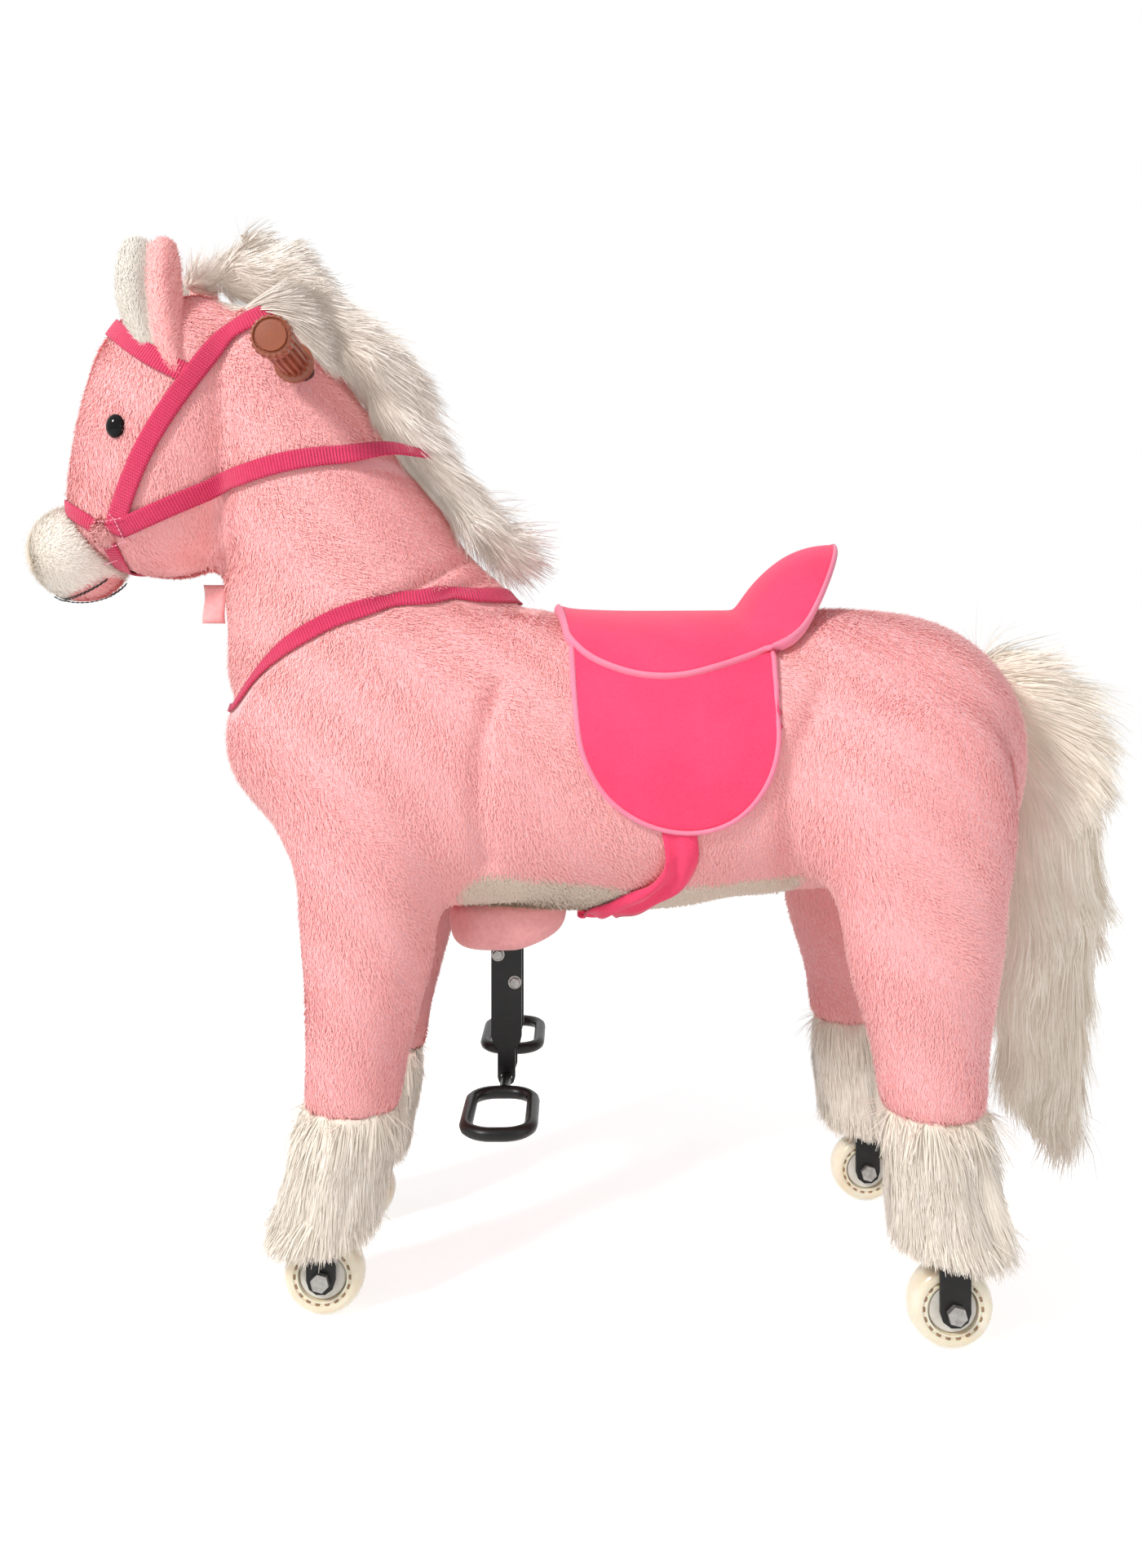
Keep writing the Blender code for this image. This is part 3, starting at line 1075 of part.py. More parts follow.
front_shaft = leg_pair("front", front_swing, FRONT_PIVOT_X, FRONT_WHEEL_X, FRONT_LEG_Y, FRONT_LEG_HALF_WIDTH,
                       FRONT_HEM, FRONT_LEG_LENGTH, FRONT_THIGH_RADIUS, FRONT_LEG_SHARES)
rear_shaft = leg_pair("rear", rear_swing, REAR_PIVOT_X, REAR_WHEEL_X, REAR_LEG_Y, REAR_LEG_HALF_WIDTH,
                      REAR_HEM, REAR_LEG_LENGTH, REAR_THIGH_RADIUS, REAR_LEG_SHARES)
front_crank_low = LINK_HALF_THICKNESS + CRANK_SIDE_GAP
front_arm, front_pin, front_tip = crank(
    "front", FRONT_PIVOT_X, 0, FRONT_CRANK, front_crank_low, front_crank_low + CRANK_THICKNESS,
    -LINK_HALF_THICKNESS - CRANK_SIDE_GAP)
join(front_shaft, front_arm, front_pin)
HALF_SWING = SWING_ANGLE / 2
rear_link_y = LEVER_Y + HANGER_THICKNESS / 2 + CRANK_SIDE_GAP + LINK_HALF_THICKNESS
rear_crank_low = rear_link_y + LINK_HALF_THICKNESS + CRANK_SIDE_GAP
rear_arm, rear_pin, rear_tip = crank(
    "rear", REAR_PIVOT_X, HALF_SWING, REAR_CRANK, rear_crank_low, rear_crank_low + CRANK_THICKNESS,
    rear_link_y - LINK_HALF_THICKNESS - CRANK_SIDE_GAP)
join(rear_shaft, rear_arm, rear_pin)

# Foot lever
lever_point = Vector((LEVER_X, 0, LEVER_Z))
front_joint = lever_point - UP * FRONT_CRANK
rear_joint = lever_point + Vector((math.sin(HALF_SWING), 0, math.cos(HALF_SWING))) * REAR_CRANK
hanger_top = LEVER_Z + REAR_CRANK
hanger_foot = (LEVER_X, HANGER_BOTTOM + HANGER_HALF_WIDTH)
tab_turn = math.acos(HANGER_TAB_HALF_WIDTH / HANGER_HALF_WIDTH)
hanger_outline = arc((LEVER_X, hanger_top - HANGER_HALF_WIDTH / 4), HANGER_HALF_WIDTH, 0, math.pi)
hanger_outline += arc(hanger_foot, HANGER_HALF_WIDTH, math.pi, math.pi + tab_turn, ARC_STEPS // 2)
hanger_outline += arc((LEVER_X, CROSS_ROD_Z), HANGER_TAB_HALF_WIDTH, math.pi, 2 * math.pi)
hanger_outline += arc(hanger_foot, HANGER_HALF_WIDTH, 2 * math.pi - tab_turn, 2 * math.pi, ARC_STEPS // 2)
cross_end = SIDE * (LOOP_INNER_Y - SEAT_GAP)
cross_point = Vector((LEVER_X, 0, CROSS_ROD_Z))


def bored(target, label, centre, radius):
    reach = SIDE * LOOP_OUTER_Y
    cut(target, helper(f"{label}_hole", rod_mesh(
        f"{label}_hole", centre - reach, centre + reach, radius + SEAT_GAP, SMALL_ROUND)))


for side, sign in (("left", -1), ("right", 1)):
    low, high = sorted((sign * (LEVER_Y - HANGER_THICKNESS / 2), sign * (LEVER_Y + HANGER_THICKNESS / 2)))
    hanger = piece(f"pedal_hanger_{side}", plate_mesh(f"pedal_hanger_{side}", hanger_outline, low, high),
                   black_steel, lever_swing)
    bored(hanger, f"{side}_lever", lever_point, LEVER_PIN_RADIUS)
    bored(hanger, f"{side}_front_pin", front_joint, LINK_PIN_RADIUS)
    bored(hanger, f"{side}_cross", cross_point, CROSS_ROD_RADIUS)
    if side == "right":
        bored(hanger, "rear_pin", rear_joint, LINK_PIN_RADIUS)


def pin(name, centre, low, high, radius, pivot, heads=(-1, 1)):
    """A pin with a hexagon head outside the places given, at both ends or one."""
    first = low - SEAT_GAP - PIN_HEAD / 2 if -1 in heads else low
    made = piece(name, rod_mesh(name, centre + SIDE * first,
                                centre + SIDE * (high + SEAT_GAP + PIN_HEAD / 2), radius, SMALL_ROUND),
                 zinc, pivot)
    for way in heads:
        label, place = ("low", low) if way < 0 else ("high", high)
        near = centre + SIDE * (place + way * SEAT_GAP)
        join(made, helper(f"{name}_{label}_head", rod_mesh(
            f"{name}_{label}_head", near, near + SIDE * (way * PIN_HEAD), PIN_HEAD_RADIUS, HEX)))
    return made


hanger_out = LEVER_Y + HANGER_THICKNESS / 2
pin("lever_pivot_bolt", lever_point, -hanger_out, hanger_out, LEVER_PIN_RADIUS, chassis)
pin("front_link_pin", front_joint, -hanger_out, hanger_out, LINK_PIN_RADIUS, lever_swing)
pin("rear_link_pin", rear_joint, LEVER_Y - HANGER_THICKNESS / 2, rear_link_y + LINK_HALF_THICKNESS + SEAT_GAP,
    LINK_PIN_RADIUS, lever_swing, heads=(1,))
piece("pedal_cross_rod", rod_mesh(
    "pedal_cross_rod", cross_point - cross_end, cross_point + cross_end, CROSS_ROD_RADIUS, SMALL_ROUND),
    black_steel, lever_swing)


def foot_loop(side, sign):
    """A rounded ring of rod for one foot, lying flat beside the lever."""
    low, high = LOOP_INNER_Y + LOOP_ROD_RADIUS, LOOP_OUTER_Y - LOOP_ROD_RADIUS
    corner = LOOP_CORNER
    reach = LOOP_HALF_LENGTH - LOOP_ROD_RADIUS
    path = []
    for cx, cy, start in ((reach - corner, high - corner, 0), (-reach + corner, high - corner, math.pi / 2),
                          (-reach + corner, low + corner, math.pi),
                          (reach - corner, low + corner, 3 * math.pi / 2)):
        path += [Vector((LEVER_X + x, sign * y, cross_point.z))
                 for x, y in arc((cx, cy), corner, start, start + math.pi / 2, ARC_STEPS // 2)]
    shape = bmesh.new()
    loops = []
    count = len(path)
    for i, point in enumerate(path):
        along = (path[(i + 1) % count] - path[i - 1]).normalized()
        out = along.cross(UP)
        loops.append([shape.verts.new(p) for p in oval(
            point, LOOP_ROD_RADIUS, LOOP_ROD_RADIUS, out, UP, ROD_ROUND)])
    for i in range(count):
        near, far = loops[i], loops[(i + 1) % count]
        for j in range(ROD_ROUND):
            k = (j + 1) % ROD_ROUND
            shape.faces.new((near[j], near[k], far[k], far[j]))
    return piece(f"foot_loop_{side}", finish_mesh(f"foot_loop_{side}", shape), black_steel, lever_swing)


for side, sign in (("left", -1), ("right", 1)):
    foot_loop(side, sign)


# Links: flat bars with an eye at each end
def link(name, start, end, y, open_radius):
    """A link bar. The eye at its far end runs with extra room, for the small change in distance."""
    axis = pivot_empty(f"{name}_axis", start)
    along = (end - start).normalized()
    beside = SIDE.cross(along)
    outline = []
    for centre, first in ((start, math.pi / 2), (end, -math.pi / 2)):
        for i in range(2 * ARC_STEPS + 1):
            turn = first + math.pi * i / (2 * ARC_STEPS)
            p = centre + along * (LINK_EYE_RADIUS * math.cos(turn)) + beside * (LINK_EYE_RADIUS * math.sin(turn))
            outline.append((p.x, p.z))
    made = piece(name, plate_mesh(name, outline, y - LINK_HALF_THICKNESS, y + LINK_HALF_THICKNESS),
                 black_steel, axis)
    bored(made, f"{name}_start", start, LINK_PIN_RADIUS + RUNNING_GAP - SEAT_GAP)
    bored(made, f"{name}_end", end, open_radius)
    return made


link("front_link", front_joint, front_tip, 0, LINK_PIN_RADIUS + RUNNING_GAP)
link("rear_link", rear_joint, rear_tip, rear_link_y, LINK_PIN_RADIUS + RUNNING_GAP)
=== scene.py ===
# %% [markdown]
# # A plush pony to ride
#
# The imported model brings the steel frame, the castors and plain solids for everything that is stuffed or
# sewn. This lesson dresses them: three stuffed coats over neck, trunk and legs, short pile, long fur for
# mane, tail and cuffs, webbing straps, a cloth saddle, plastic grips and clear wheels.

import math

import bmesh
import bpy
import numpy as np
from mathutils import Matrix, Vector
from mathutils.bvhtree import BVHTree


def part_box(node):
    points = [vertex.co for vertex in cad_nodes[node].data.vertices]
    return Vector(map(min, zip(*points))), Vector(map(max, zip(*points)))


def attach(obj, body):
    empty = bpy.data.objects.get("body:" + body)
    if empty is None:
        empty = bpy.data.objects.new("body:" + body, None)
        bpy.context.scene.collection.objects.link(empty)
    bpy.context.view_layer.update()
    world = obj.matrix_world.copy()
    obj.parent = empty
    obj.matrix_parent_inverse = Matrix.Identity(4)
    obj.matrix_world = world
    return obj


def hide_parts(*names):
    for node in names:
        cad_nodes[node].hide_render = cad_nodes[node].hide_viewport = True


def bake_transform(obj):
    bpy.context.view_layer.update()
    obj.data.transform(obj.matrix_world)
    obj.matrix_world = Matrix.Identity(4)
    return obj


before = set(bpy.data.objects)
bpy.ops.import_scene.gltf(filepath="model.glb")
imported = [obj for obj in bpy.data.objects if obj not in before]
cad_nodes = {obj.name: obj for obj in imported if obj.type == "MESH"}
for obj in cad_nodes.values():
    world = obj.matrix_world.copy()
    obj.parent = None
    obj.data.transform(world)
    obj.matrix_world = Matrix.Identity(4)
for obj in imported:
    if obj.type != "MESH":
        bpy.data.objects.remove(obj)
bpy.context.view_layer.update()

# %% [markdown]
# ## Node trees written as sums
#
# Shader and geometry trees are easier to read as expressions than as boxes and wires. A Wire stands for one
# output socket, so that `1 - mask * 0.5` adds its Math nodes. A Graph adds any other node in one call.


# %% Wires and graphs
class Wire:
    """One output socket of a node tree, for use in sums."""

    def __init__(self, graph, node, key=0):
        self.graph, self.node, self.socket = graph, node, node.outputs[key]

    def out(self, key):
        return Wire(self.graph, self.node, key)

    def maths(self, operation, first, second):
        return self.graph.add("ShaderNodeMath", {"operation": operation}, {0: first, 1: second})

    def __add__(self, other):
        return self.maths("ADD", self, other)

    def __sub__(self, other):
        return self.maths("SUBTRACT", self, other)

    def __mul__(self, other):
        return self.maths("MULTIPLY", self, other)

    def __pow__(self, other):
        return self.maths("POWER", self, other)

    def __rsub__(self, other):
        return self.maths("SUBTRACT", other, self)

    __radd__, __rmul__ = __add__, __mul__


class Graph:
    """A node tree under construction."""

    def __init__(self, tree):
        self.tree = tree

    def put(self, socket, value):
        if isinstance(value, Wire):
            self.tree.links.new(value.socket, socket)
        else:
            socket.default_value = value

    def add(self, kind, settings=None, sockets=None, key=0):
        node = self.tree.nodes.new(kind)
        for name, value in (settings or {}).items():
            setattr(node, name, value)
        open_sockets = [s for s in node.inputs if not s.is_unavailable]
        for name, value in (sockets or {}).items():
            socket = (open_sockets[name] if isinstance(name, int)
                      else next(s for s in open_sockets if s.name == name))
            self.put(socket, value)
        outs = [i for i, s in enumerate(node.outputs) if not s.is_unavailable]
        return Wire(self, node, outs[key] if isinstance(key, int) else key) if outs else node

    def vectors(self, operation, first, second):
        return self.add("ShaderNodeVectorMath", {"operation": operation}, {0: first, 1: second})

    def scaled(self, vector, factor):
        return self.add("ShaderNodeVectorMath", {"operation": "SCALE"}, {"Vector": vector, "Scale": factor})


class Finish(Graph):
    """A material: its graph ends in one Principled shader. Fixed values are given by the socket's name."""

    def __init__(self, name, **fixed):
        self.material = bpy.data.materials.new(name)
        self.material.use_nodes = True
        super().__init__(self.material.node_tree)
        self.shader = self.tree.nodes["Principled BSDF"]
        for socket, value in fixed.items():
            self.set(socket.replace("_", " ").title().replace("Ior", "IOR"), value)

    def set(self, socket, value):
        self.put(self.shader.inputs[socket], value)

    def noise(self, scale, detail=2.0, roughness=0.5):
        where = self.add("ShaderNodeTexCoord", key="Object")
        return self.add("ShaderNodeTexNoise", {}, {"Vector": where, "Scale": scale, "Detail": detail,
                                                   "Roughness": roughness})

    def attribute(self, name):
        return self.add("ShaderNodeAttribute", {"attribute_name": name}, key="Fac")

    def mix(self, factor, first, second):
        colours = [(*c, 1) if isinstance(c, tuple) else c for c in (first, second)]
        return self.add("ShaderNodeMix", {"data_type": "RGBA"}, {0: factor, 1: colours[0], 2: colours[1]})

    def maths_of(self, operation, value):
        return self.add("ShaderNodeMath", {"operation": operation}, {0: value})

    def ramp(self, value, *stops):
        node = self.add("ShaderNodeValToRGB", {}, {0: value})
        elements = node.node.color_ramp.elements
        while len(elements) < len(stops):
            elements.new(0.5)
        for element, (place, grey) in zip(elements, stops):
            element.position, element.color = place, (grey, grey, grey, 1)
        return node

    def bump(self, height, distance, strength=1.0):
        self.set("Normal", self.add("ShaderNodeBump", {}, {"Height": height, "Distance": distance,
                                                           "Strength": strength}))


# %% [markdown]
# ## Shapes from rings
#
# The stuffed body is a bag of cloth over wadding, so its sections are ovals that change slowly. Each form is
# a loft through a few ovals, with more ovals put between them on a smooth curve.

# %% Lofts
FORE, SIDE, UP = Vector((1, 0, 0)), Vector((0, 1, 0)), Vector((0, 0, 1))
SIDES = (("left", -1), ("right", 1))


def oval(centre, half_u, half_v, u_axis=FORE, v_axis=SIDE, count=48, power=2.0):
    points = []
    for i in range(count):
        c, s = math.cos(math.tau * i / count), math.sin(math.tau * i / count)
        across = math.copysign(abs(c) ** (2 / power), c)
        along = math.copysign(abs(s) ** (2 / power), s)
        points.append(Vector(centre) + u_axis * (half_u * across) + v_axis * (half_v * along))
    return points


def curve_between(points, steps):
    """More points on a Catmull-Rom curve through the given ones."""
    rows = np.array(points, float)
    rows = np.concatenate([2 * rows[:1] - rows[1:2], rows, 2 * rows[-1:] - rows[-2:-1]])
    made = []
    for i in range(1, len(rows) - 2):
        a, b, c, d = rows[i - 1:i + 3]
        for k in range(steps):
            t = k / steps
            made.append((2 * b + (c - a) * t + (2 * a - 5 * b + 4 * c - d) * t ** 2
                         + (3 * b - a - 3 * c + d) * t ** 3) / 2)
    made.append(rows[-2])
    return np.array(made)


def ring_faces(rows, count, closed=False):
    """Faces between rows of count places each; closed joins the last row to the first."""
    faces = []
    for i in range(rows if closed else rows - 1):
        n = (i + 1) % rows
        for j in range(count):
            k = (j + 1) % count
            faces.append((i * count + j, i * count + k, n * count + k, n * count + j))
    return faces


def closed_loft(rings, steps=4):
    """Vertices and faces of a closed skin through rings, with a fan at each end."""
    rings = curve_between([[tuple(p) for p in ring] for ring in rings], steps)
    count = rings.shape[1]
    verts = [tuple(p) for ring in rings for p in ring]
    faces = ring_faces(len(rings), count)
    for ring, start in ((rings[0], 0), (rings[-1], (len(rings) - 1) * count)):
        hub = len(verts)
        verts.append(tuple(ring.mean(0)))
        faces += [(start + j, start + (j + 1) % count, hub) for j in range(count)]
    return verts, faces


def ball(centre, half_x, half_y, half_z, rows=14, count=32):
    """Vertices and faces of an egg."""
    rings = []
    for i in range(1, rows):
        angle = math.pi * i / rows
        rings.append(oval(Vector(centre) - SIDE * (half_y * math.cos(angle)), half_x * math.sin(angle),
                          half_z * math.sin(angle), FORE, UP, count))
    return closed_loft(rings, 1)


def linked(name, data):
    """A new object in the scene."""
    made = bpy.data.objects.new(name, data)
    bpy.context.scene.collection.objects.link(made)
    return made


def reworked(mesh, *works, source=None):
    """Opens a mesh for editing, or another one as its start, and does some work on it."""
    shape = bmesh.new()
    shape.from_mesh(mesh if source is None else source)
    for work in works:
        work(shape)
    shape.to_mesh(mesh)
    shape.free()


def face_outward(shape):
    bmesh.ops.recalc_face_normals(shape, faces=shape.faces)


def merge_doubles(shape):
    bmesh.ops.remove_doubles(shape, verts=shape.verts, dist=1e-6)


def add_object(name, verts, faces, smooth=True):
    mesh = bpy.data.meshes.new(name)
    mesh.from_pydata([tuple(v) for v in verts], [], [tuple(f) for f in faces])
    reworked(mesh, face_outward)
    if smooth:
        mesh.shade_smooth()
    return linked(name, mesh)


def together(shapes):
    """Several lists of vertices and faces as one."""
    verts, faces = [], []
    for more_verts, more_faces in shapes:
        faces += [tuple(i + len(verts) for i in face) for face in more_faces]
        verts += list(more_verts)
    return verts, faces


def points_of(mesh):
    flat = np.zeros(len(mesh.vertices) * 3)
    mesh.vertices.foreach_get("co", flat)
    return flat.reshape(-1, 3)


def normals_of(mesh):
    return np.array([tuple(v.normal) for v in mesh.vertices])


def tree_of(piece):
    """A piece's faces as a tree, in which a ray or a nearest place is found fast."""
    return BVHTree.FromPolygons([tuple(p) for p in points_of(piece.data)],
                                [tuple(face.vertices) for face in piece.data.polygons])


def unit(rows):
    """Directions scaled to length 1."""
    return rows / np.maximum(np.linalg.norm(rows, axis=-1), 1e-9)[..., None]


def rise(values, start, width):
    """0 up to start and 1 from start + width on. A negative width makes it rise towards lower values."""
    return np.clip((values - start) / width, 0, 1)


def level_on(line, at):
    """The second value of a line of pairs, read at values of the first."""
    return np.interp(at, *np.array(line).T)


def set_points(mesh, points):
    mesh.vertices.foreach_set("co", np.asarray(points, np.float32).ravel())
    mesh.update()


def softened(mesh, rounds, weight=None, factor=0.5):
    """Pulls each vertex towards its neighbours, which rounds the creases between joined forms."""
    edges = np.zeros(len(mesh.edges) * 2, int)
    mesh.edges.foreach_get("vertices", edges)
    a, b = edges.reshape(-1, 2).T
    points = points_of(mesh)
    share = np.ones(len(points)) if weight is None else weight(points)
    degree = np.bincount(a, minlength=len(points)) + np.bincount(b, minlength=len(points))
    for _ in range(rounds):
        total = np.zeros_like(points)
        for axis in range(3):
            total[:, axis] = (np.bincount(a, points[b, axis], len(points))
                              + np.bincount(b, points[a, axis], len(points)))
        points += (total / degree[:, None] - points) * (factor * share)[:, None]
    set_points(mesh, points)


def evaluated_copy(source, name):
    """What the modifiers of an object make, as a plain object. The source is removed."""
    bpy.context.view_layer.update()
    result = bpy.data.meshes.new_from_object(source.evaluated_get(bpy.context.evaluated_depsgraph_get()))
    bpy.data.objects.remove(source)
    result.name = name
    return linked(name, result)


def remeshed(raw, name, voxel, rounds, inset=0.0):
    """One skin round all forms of an object, with its creases filled and drawn in by the inset."""
    step = raw.modifiers.new("join", "REMESH")
    step.mode, step.voxel_size = "VOXEL", voxel
    made = evaluated_copy(raw, name)
    softened(made.data, rounds)
    set_points(made.data, points_of(made.data) - normals_of(made.data) * inset)
    made.data.shade_smooth()
    return made


def moulded(name, shapes, voxel, rounds):
    """One skin round several overlapping forms."""
    return remeshed(add_object(f"{name}_raw", *together(shapes)), name, voxel, rounds)


# %% [markdown]
# ## The trunk and legs
#
# On the real pony the trunk, the shoulders and the thighs are one plush bag, and the legs swing inside it.
# The same ovals as the plain solids are joined by voxels here, so that shoulder and haunch flow into the
# legs with a soft fillet.

# %% Trunk and leg forms
BELLY, BACK, CHEST, RUMP = 0.3075, 0.570, -0.295, 0.381
# Place along the trunk, its top and bottom and its half width, all as shares.
TRUNK = ((0.017, 0.810, 0.410, 0.42), (0.075, 0.962, 0.238, 0.66), (0.147, 1.057, 0.105, 0.79),
         (0.262, 1.057, 0.025, 0.86), (0.378, 1.019, 0.006, 0.88), (0.522, 0.996, 0.000, 0.88),
         (0.666, 0.996, 0.055, 0.92), (0.795, 0.996, 0.078, 0.98), (0.875, 0.975, 0.086, 0.96),
         (0.932, 0.909, 0.124, 0.84), (0.976, 0.790, 0.246, 0.60))


TRUNK_HALF, LID_SHARE, LID_PUSH = 0.145, 0.72, 0.007


def trunk_form():
    rings = []
    for along, top, bottom, width in TRUNK:
        low, high = BELLY + bottom * (BACK - BELLY), BELLY + top * (BACK - BELLY)
        rings.append(oval((CHEST + along * (RUMP - CHEST), 0, (low + high) / 2), (high - low) / 2,
                          width * TRUNK_HALF, UP, SIDE, power=2.25))
    lids = []
    for ring, push in ((rings[0], -LID_PUSH), (rings[-1], LID_PUSH)):
        middle = sum(ring, Vector()) / len(ring)
        lids.append([middle + (p - middle) * LID_SHARE + FORE * push for p in ring])
    return closed_loft([lids[0], *rings, lids[1]])


# The rings of a leg: height, shift to the rear, half length and half width, all as shares.
LEG_TOP = 0.420
LEGS = {
    "front": {"x": -0.155, "y": 0.078, "half": 0.050, "length": 0.255, "radius": 0.070,
              "rings": ((0.000, -0.290, 0.540, 0.70), (0.170, -0.240, 0.600, 0.78),
                        (0.410, -0.120, 0.735, 0.90), (0.660, -0.090, 0.890, 0.98),
                        (0.850, -0.030, 0.960, 1.00), (1.000, 0.000, 0.985, 0.98))},
    "rear": {"x": 0.262, "y": 0.125, "half": 0.052, "length": 0.240, "radius": 0.080,
             "rings": ((0.000, 0.170, 0.480, 0.74), (0.170, 0.140, 0.540, 0.80),
                       (0.410, 0.070, 0.690, 0.92), (0.660, 0.060, 0.850, 1.00),
                       (0.850, 0.020, 0.960, 1.00), (1.000, 0.000, 0.985, 0.98))},
}


def leg_form(pair, sign):
    """A leg up from its hem, with a dome on it that sinks into the trunk."""
    leg = LEGS[pair]
    rings = []
    for height, shift, depth, width in leg["rings"]:
        place = (leg["x"] + shift * leg["radius"], sign * leg["y"], LEG_TOP - leg["length"] * (1 - height))
        rings.append(oval(place, depth * leg["radius"], width * leg["half"]))
    for share in (0.45, 0.75, 0.93):
        scale = math.sqrt(1 - share * share)
        rings.append(oval((leg["x"], sign * leg["y"], LEG_TOP + share * leg["radius"]),
                          leg["radius"] * scale, leg["half"] * scale))
    return closed_loft(rings)


# %% [markdown]
# ## The neck and head
#
# The head sits on a thick neck that turns with the handlebar. Both are lofts through a front and a back
# profile, and they are joined in the same way. The neck starts at a seam that is square to the steering
# axis, and the chest strap covers it.

# %% Neck and head forms
STEER = Vector((-0.1353, 0, 0.544))
SLOPE = math.radians(22)
STEER_AXIS = Vector((-math.sin(SLOPE), 0, math.cos(SLOPE)))
BEND_END = STEER + STEER_AXIS * 0.10


def profile_form(fronts, backs, origin, scale, widths, lids):
    """A loft whose ovals run from a front to a back place each, in the side view.

    The places are shares of the scale from the origin. A lid closes each end, with its share and its push.
    """
    rings = []
    for pair, width in zip(zip(fronts, backs), widths):
        front, back = (Vector((origin[0] + u * scale, 0, origin[1] + v * scale)) for u, v in pair)
        rings.append(oval((front + back) / 2, (back - front).length / 2, width, (back - front).normalized()))
    for end, (shrink, push) in enumerate(lids):
        ring, inner = (rings[-1], rings[-2]) if end else (rings[0], rings[1])
        middle, inside = sum(ring, Vector()) / len(ring), sum(inner, Vector()) / len(inner)
        out = (middle - inside).normalized() * push
        lid = [middle + (p - middle) * shrink + out for p in ring]
        rings = rings + [lid] if end else [lid] + rings
    return closed_loft(rings)


NECK_FRONT = ((-0.532, -0.210), (-0.546, 0.020), (-0.566, 0.220), (-0.599, 0.387), (-0.616, 0.553),
              (-0.599, 0.737), (-0.516, 0.887))
NECK_BACK = ((0.308, 0.113), (0.158, 0.230), (0.068, 0.387), (-0.032, 0.520), (-0.142, 0.660),
             (-0.239, 0.803), (-0.322, 0.913))
NECK_WIDTHS = [share * 0.105 for share in (1.00, 0.86, 0.75, 0.69, 0.66, 0.62, 0.52)]
neck_form = profile_form(NECK_FRONT, NECK_BACK, (STEER.x, STEER.z), 0.300, NECK_WIDTHS,
                         ((0.8, 0.03), (0.7, 0.012)))
HEAD_FRONT = ((-0.150, 0.985), (-0.330, 0.935), (-0.462, 0.760), (-0.514, 0.560), (-0.546, 0.375),
              (-0.550, 0.271))
HEAD_BACK = ((0.158, 0.833), (0.208, 0.583), (0.158, 0.292), (0.021, 0.050), (-0.187, -0.033),
             (-0.325, -0.008))
HEAD_WIDTHS = [share * 0.073 for share in (0.62, 0.90, 1.00, 0.96, 0.80, 0.64)]
head_form = profile_form(HEAD_FRONT, HEAD_BACK, (-0.300, 0.600), 0.240, HEAD_WIDTHS,
                         ((0.7, 0.010), (0.7, 0.010)))

# %% [markdown]
# ## One skin, then three coats
#
# All the forms are joined as one skin, so that neck, shoulder and haunch flow into each other. The skin is
# then cut into three coats: one over the neck and head, one over the front of the trunk and the front legs,
# and one over the rear of the trunk and the rear legs. The cuts hide under the chest strap and under the
# saddle.

# %% Join the skin
body_forms = [trunk_form(), neck_form, head_form]
for sign in (-1, 1):
    body_forms += [leg_form("front", sign), leg_form("rear", sign)]
    body_forms.append(ball((-0.160, sign * 0.064, 0.405), 0.086, 0.056, 0.085))
    body_forms.append(ball((0.246, sign * 0.086, 0.425), 0.096, 0.070, 0.092))
    body_forms.append(ball((0.306, sign * 0.072, 0.430), 0.050, 0.058, 0.070))


def firmness(points):
    """How much of the smoothing each place takes: little on the head, all of it where legs meet trunk."""
    head, hem = rise(points[:, 2], 0.56, 0.06), rise(points[:, 2], 0.24, -0.04)
    return 1 - 0.82 * np.maximum(head, hem)


skin = moulded("skin", body_forms, voxel=0.005, rounds=0)
softened(skin.data, 34, firmness)


def seam_distance(points, seam):
    """Distance in the side view from each point to a line through the seam's (x, z) places."""
    best = np.full(len(points), 9.0)
    flat = points[:, [0, 2]]
    for start, end in zip(seam, seam[1:]):
        a, b = np.array(start), np.array(end)
        t = np.clip((flat - a) @ (b - a) / ((b - a) @ (b - a)), 0, 1)
        best = np.minimum(best, np.linalg.norm(flat - a - t[:, None] * (b - a), axis=1))
    return best


# For each seam its places (x, z), its depth and its width.
SEAMS = {
    "shoulder": (((-0.058, 0.500), (-0.069, 0.455), (-0.072, 0.410), (-0.066, 0.362)), 0.0060, 0.009),
    "haunch": (((0.192, 0.500), (0.172, 0.455), (0.164, 0.415), (0.170, 0.365), (0.186, 0.330)),
               0.0065, 0.010),
    "cheek": (((-0.308, 0.590), (-0.292, 0.640), (-0.284, 0.700), (-0.286, 0.745)), 0.0036, 0.008),
    "jaw": (((-0.316, 0.606), (-0.300, 0.600), (-0.284, 0.612)), 0.0060, 0.010),
    "fold": (((-0.150, 0.572), (-0.128, 0.582), (-0.105, 0.597), (-0.088, 0.608)), 0.0065, 0.006),
    "low fold": (((-0.100, 0.5815), (-0.080, 0.590), (-0.060, 0.598)), 0.0065, 0.006),
}
COLLAR = ((-0.298, 0.482), (-0.272, 0.510), (-0.226, 0.537), (-0.184, 0.556), (-0.130, 0.569),
          (-0.072, 0.573), (-0.040, 0.572))
places, outward = points_of(skin.data), normals_of(skin.data)
sideways = np.clip(np.abs(outward[:, 1]) * 2 - 0.3, 0, 1)
for seam, depth, width in SEAMS.values():
    groove = np.exp(-(seam_distance(places, seam) / width) ** 2)
    places -= outward * (groove * depth * sideways)[:, None]
LUMP_WAVES, LUMP_DEPTH = 24, 0.0009
COLLAR_WIDTH, COLLAR_DEPTH = 0.011, 0.0050
PILE_ROOM, SEAT_ROOM = 0.0032, 0.0070
rng = np.random.default_rng(7)
lump_waves = rng.normal(size=(LUMP_WAVES, 3)) * 26
lump_turns = rng.uniform(0, math.tau, LUMP_WAVES)
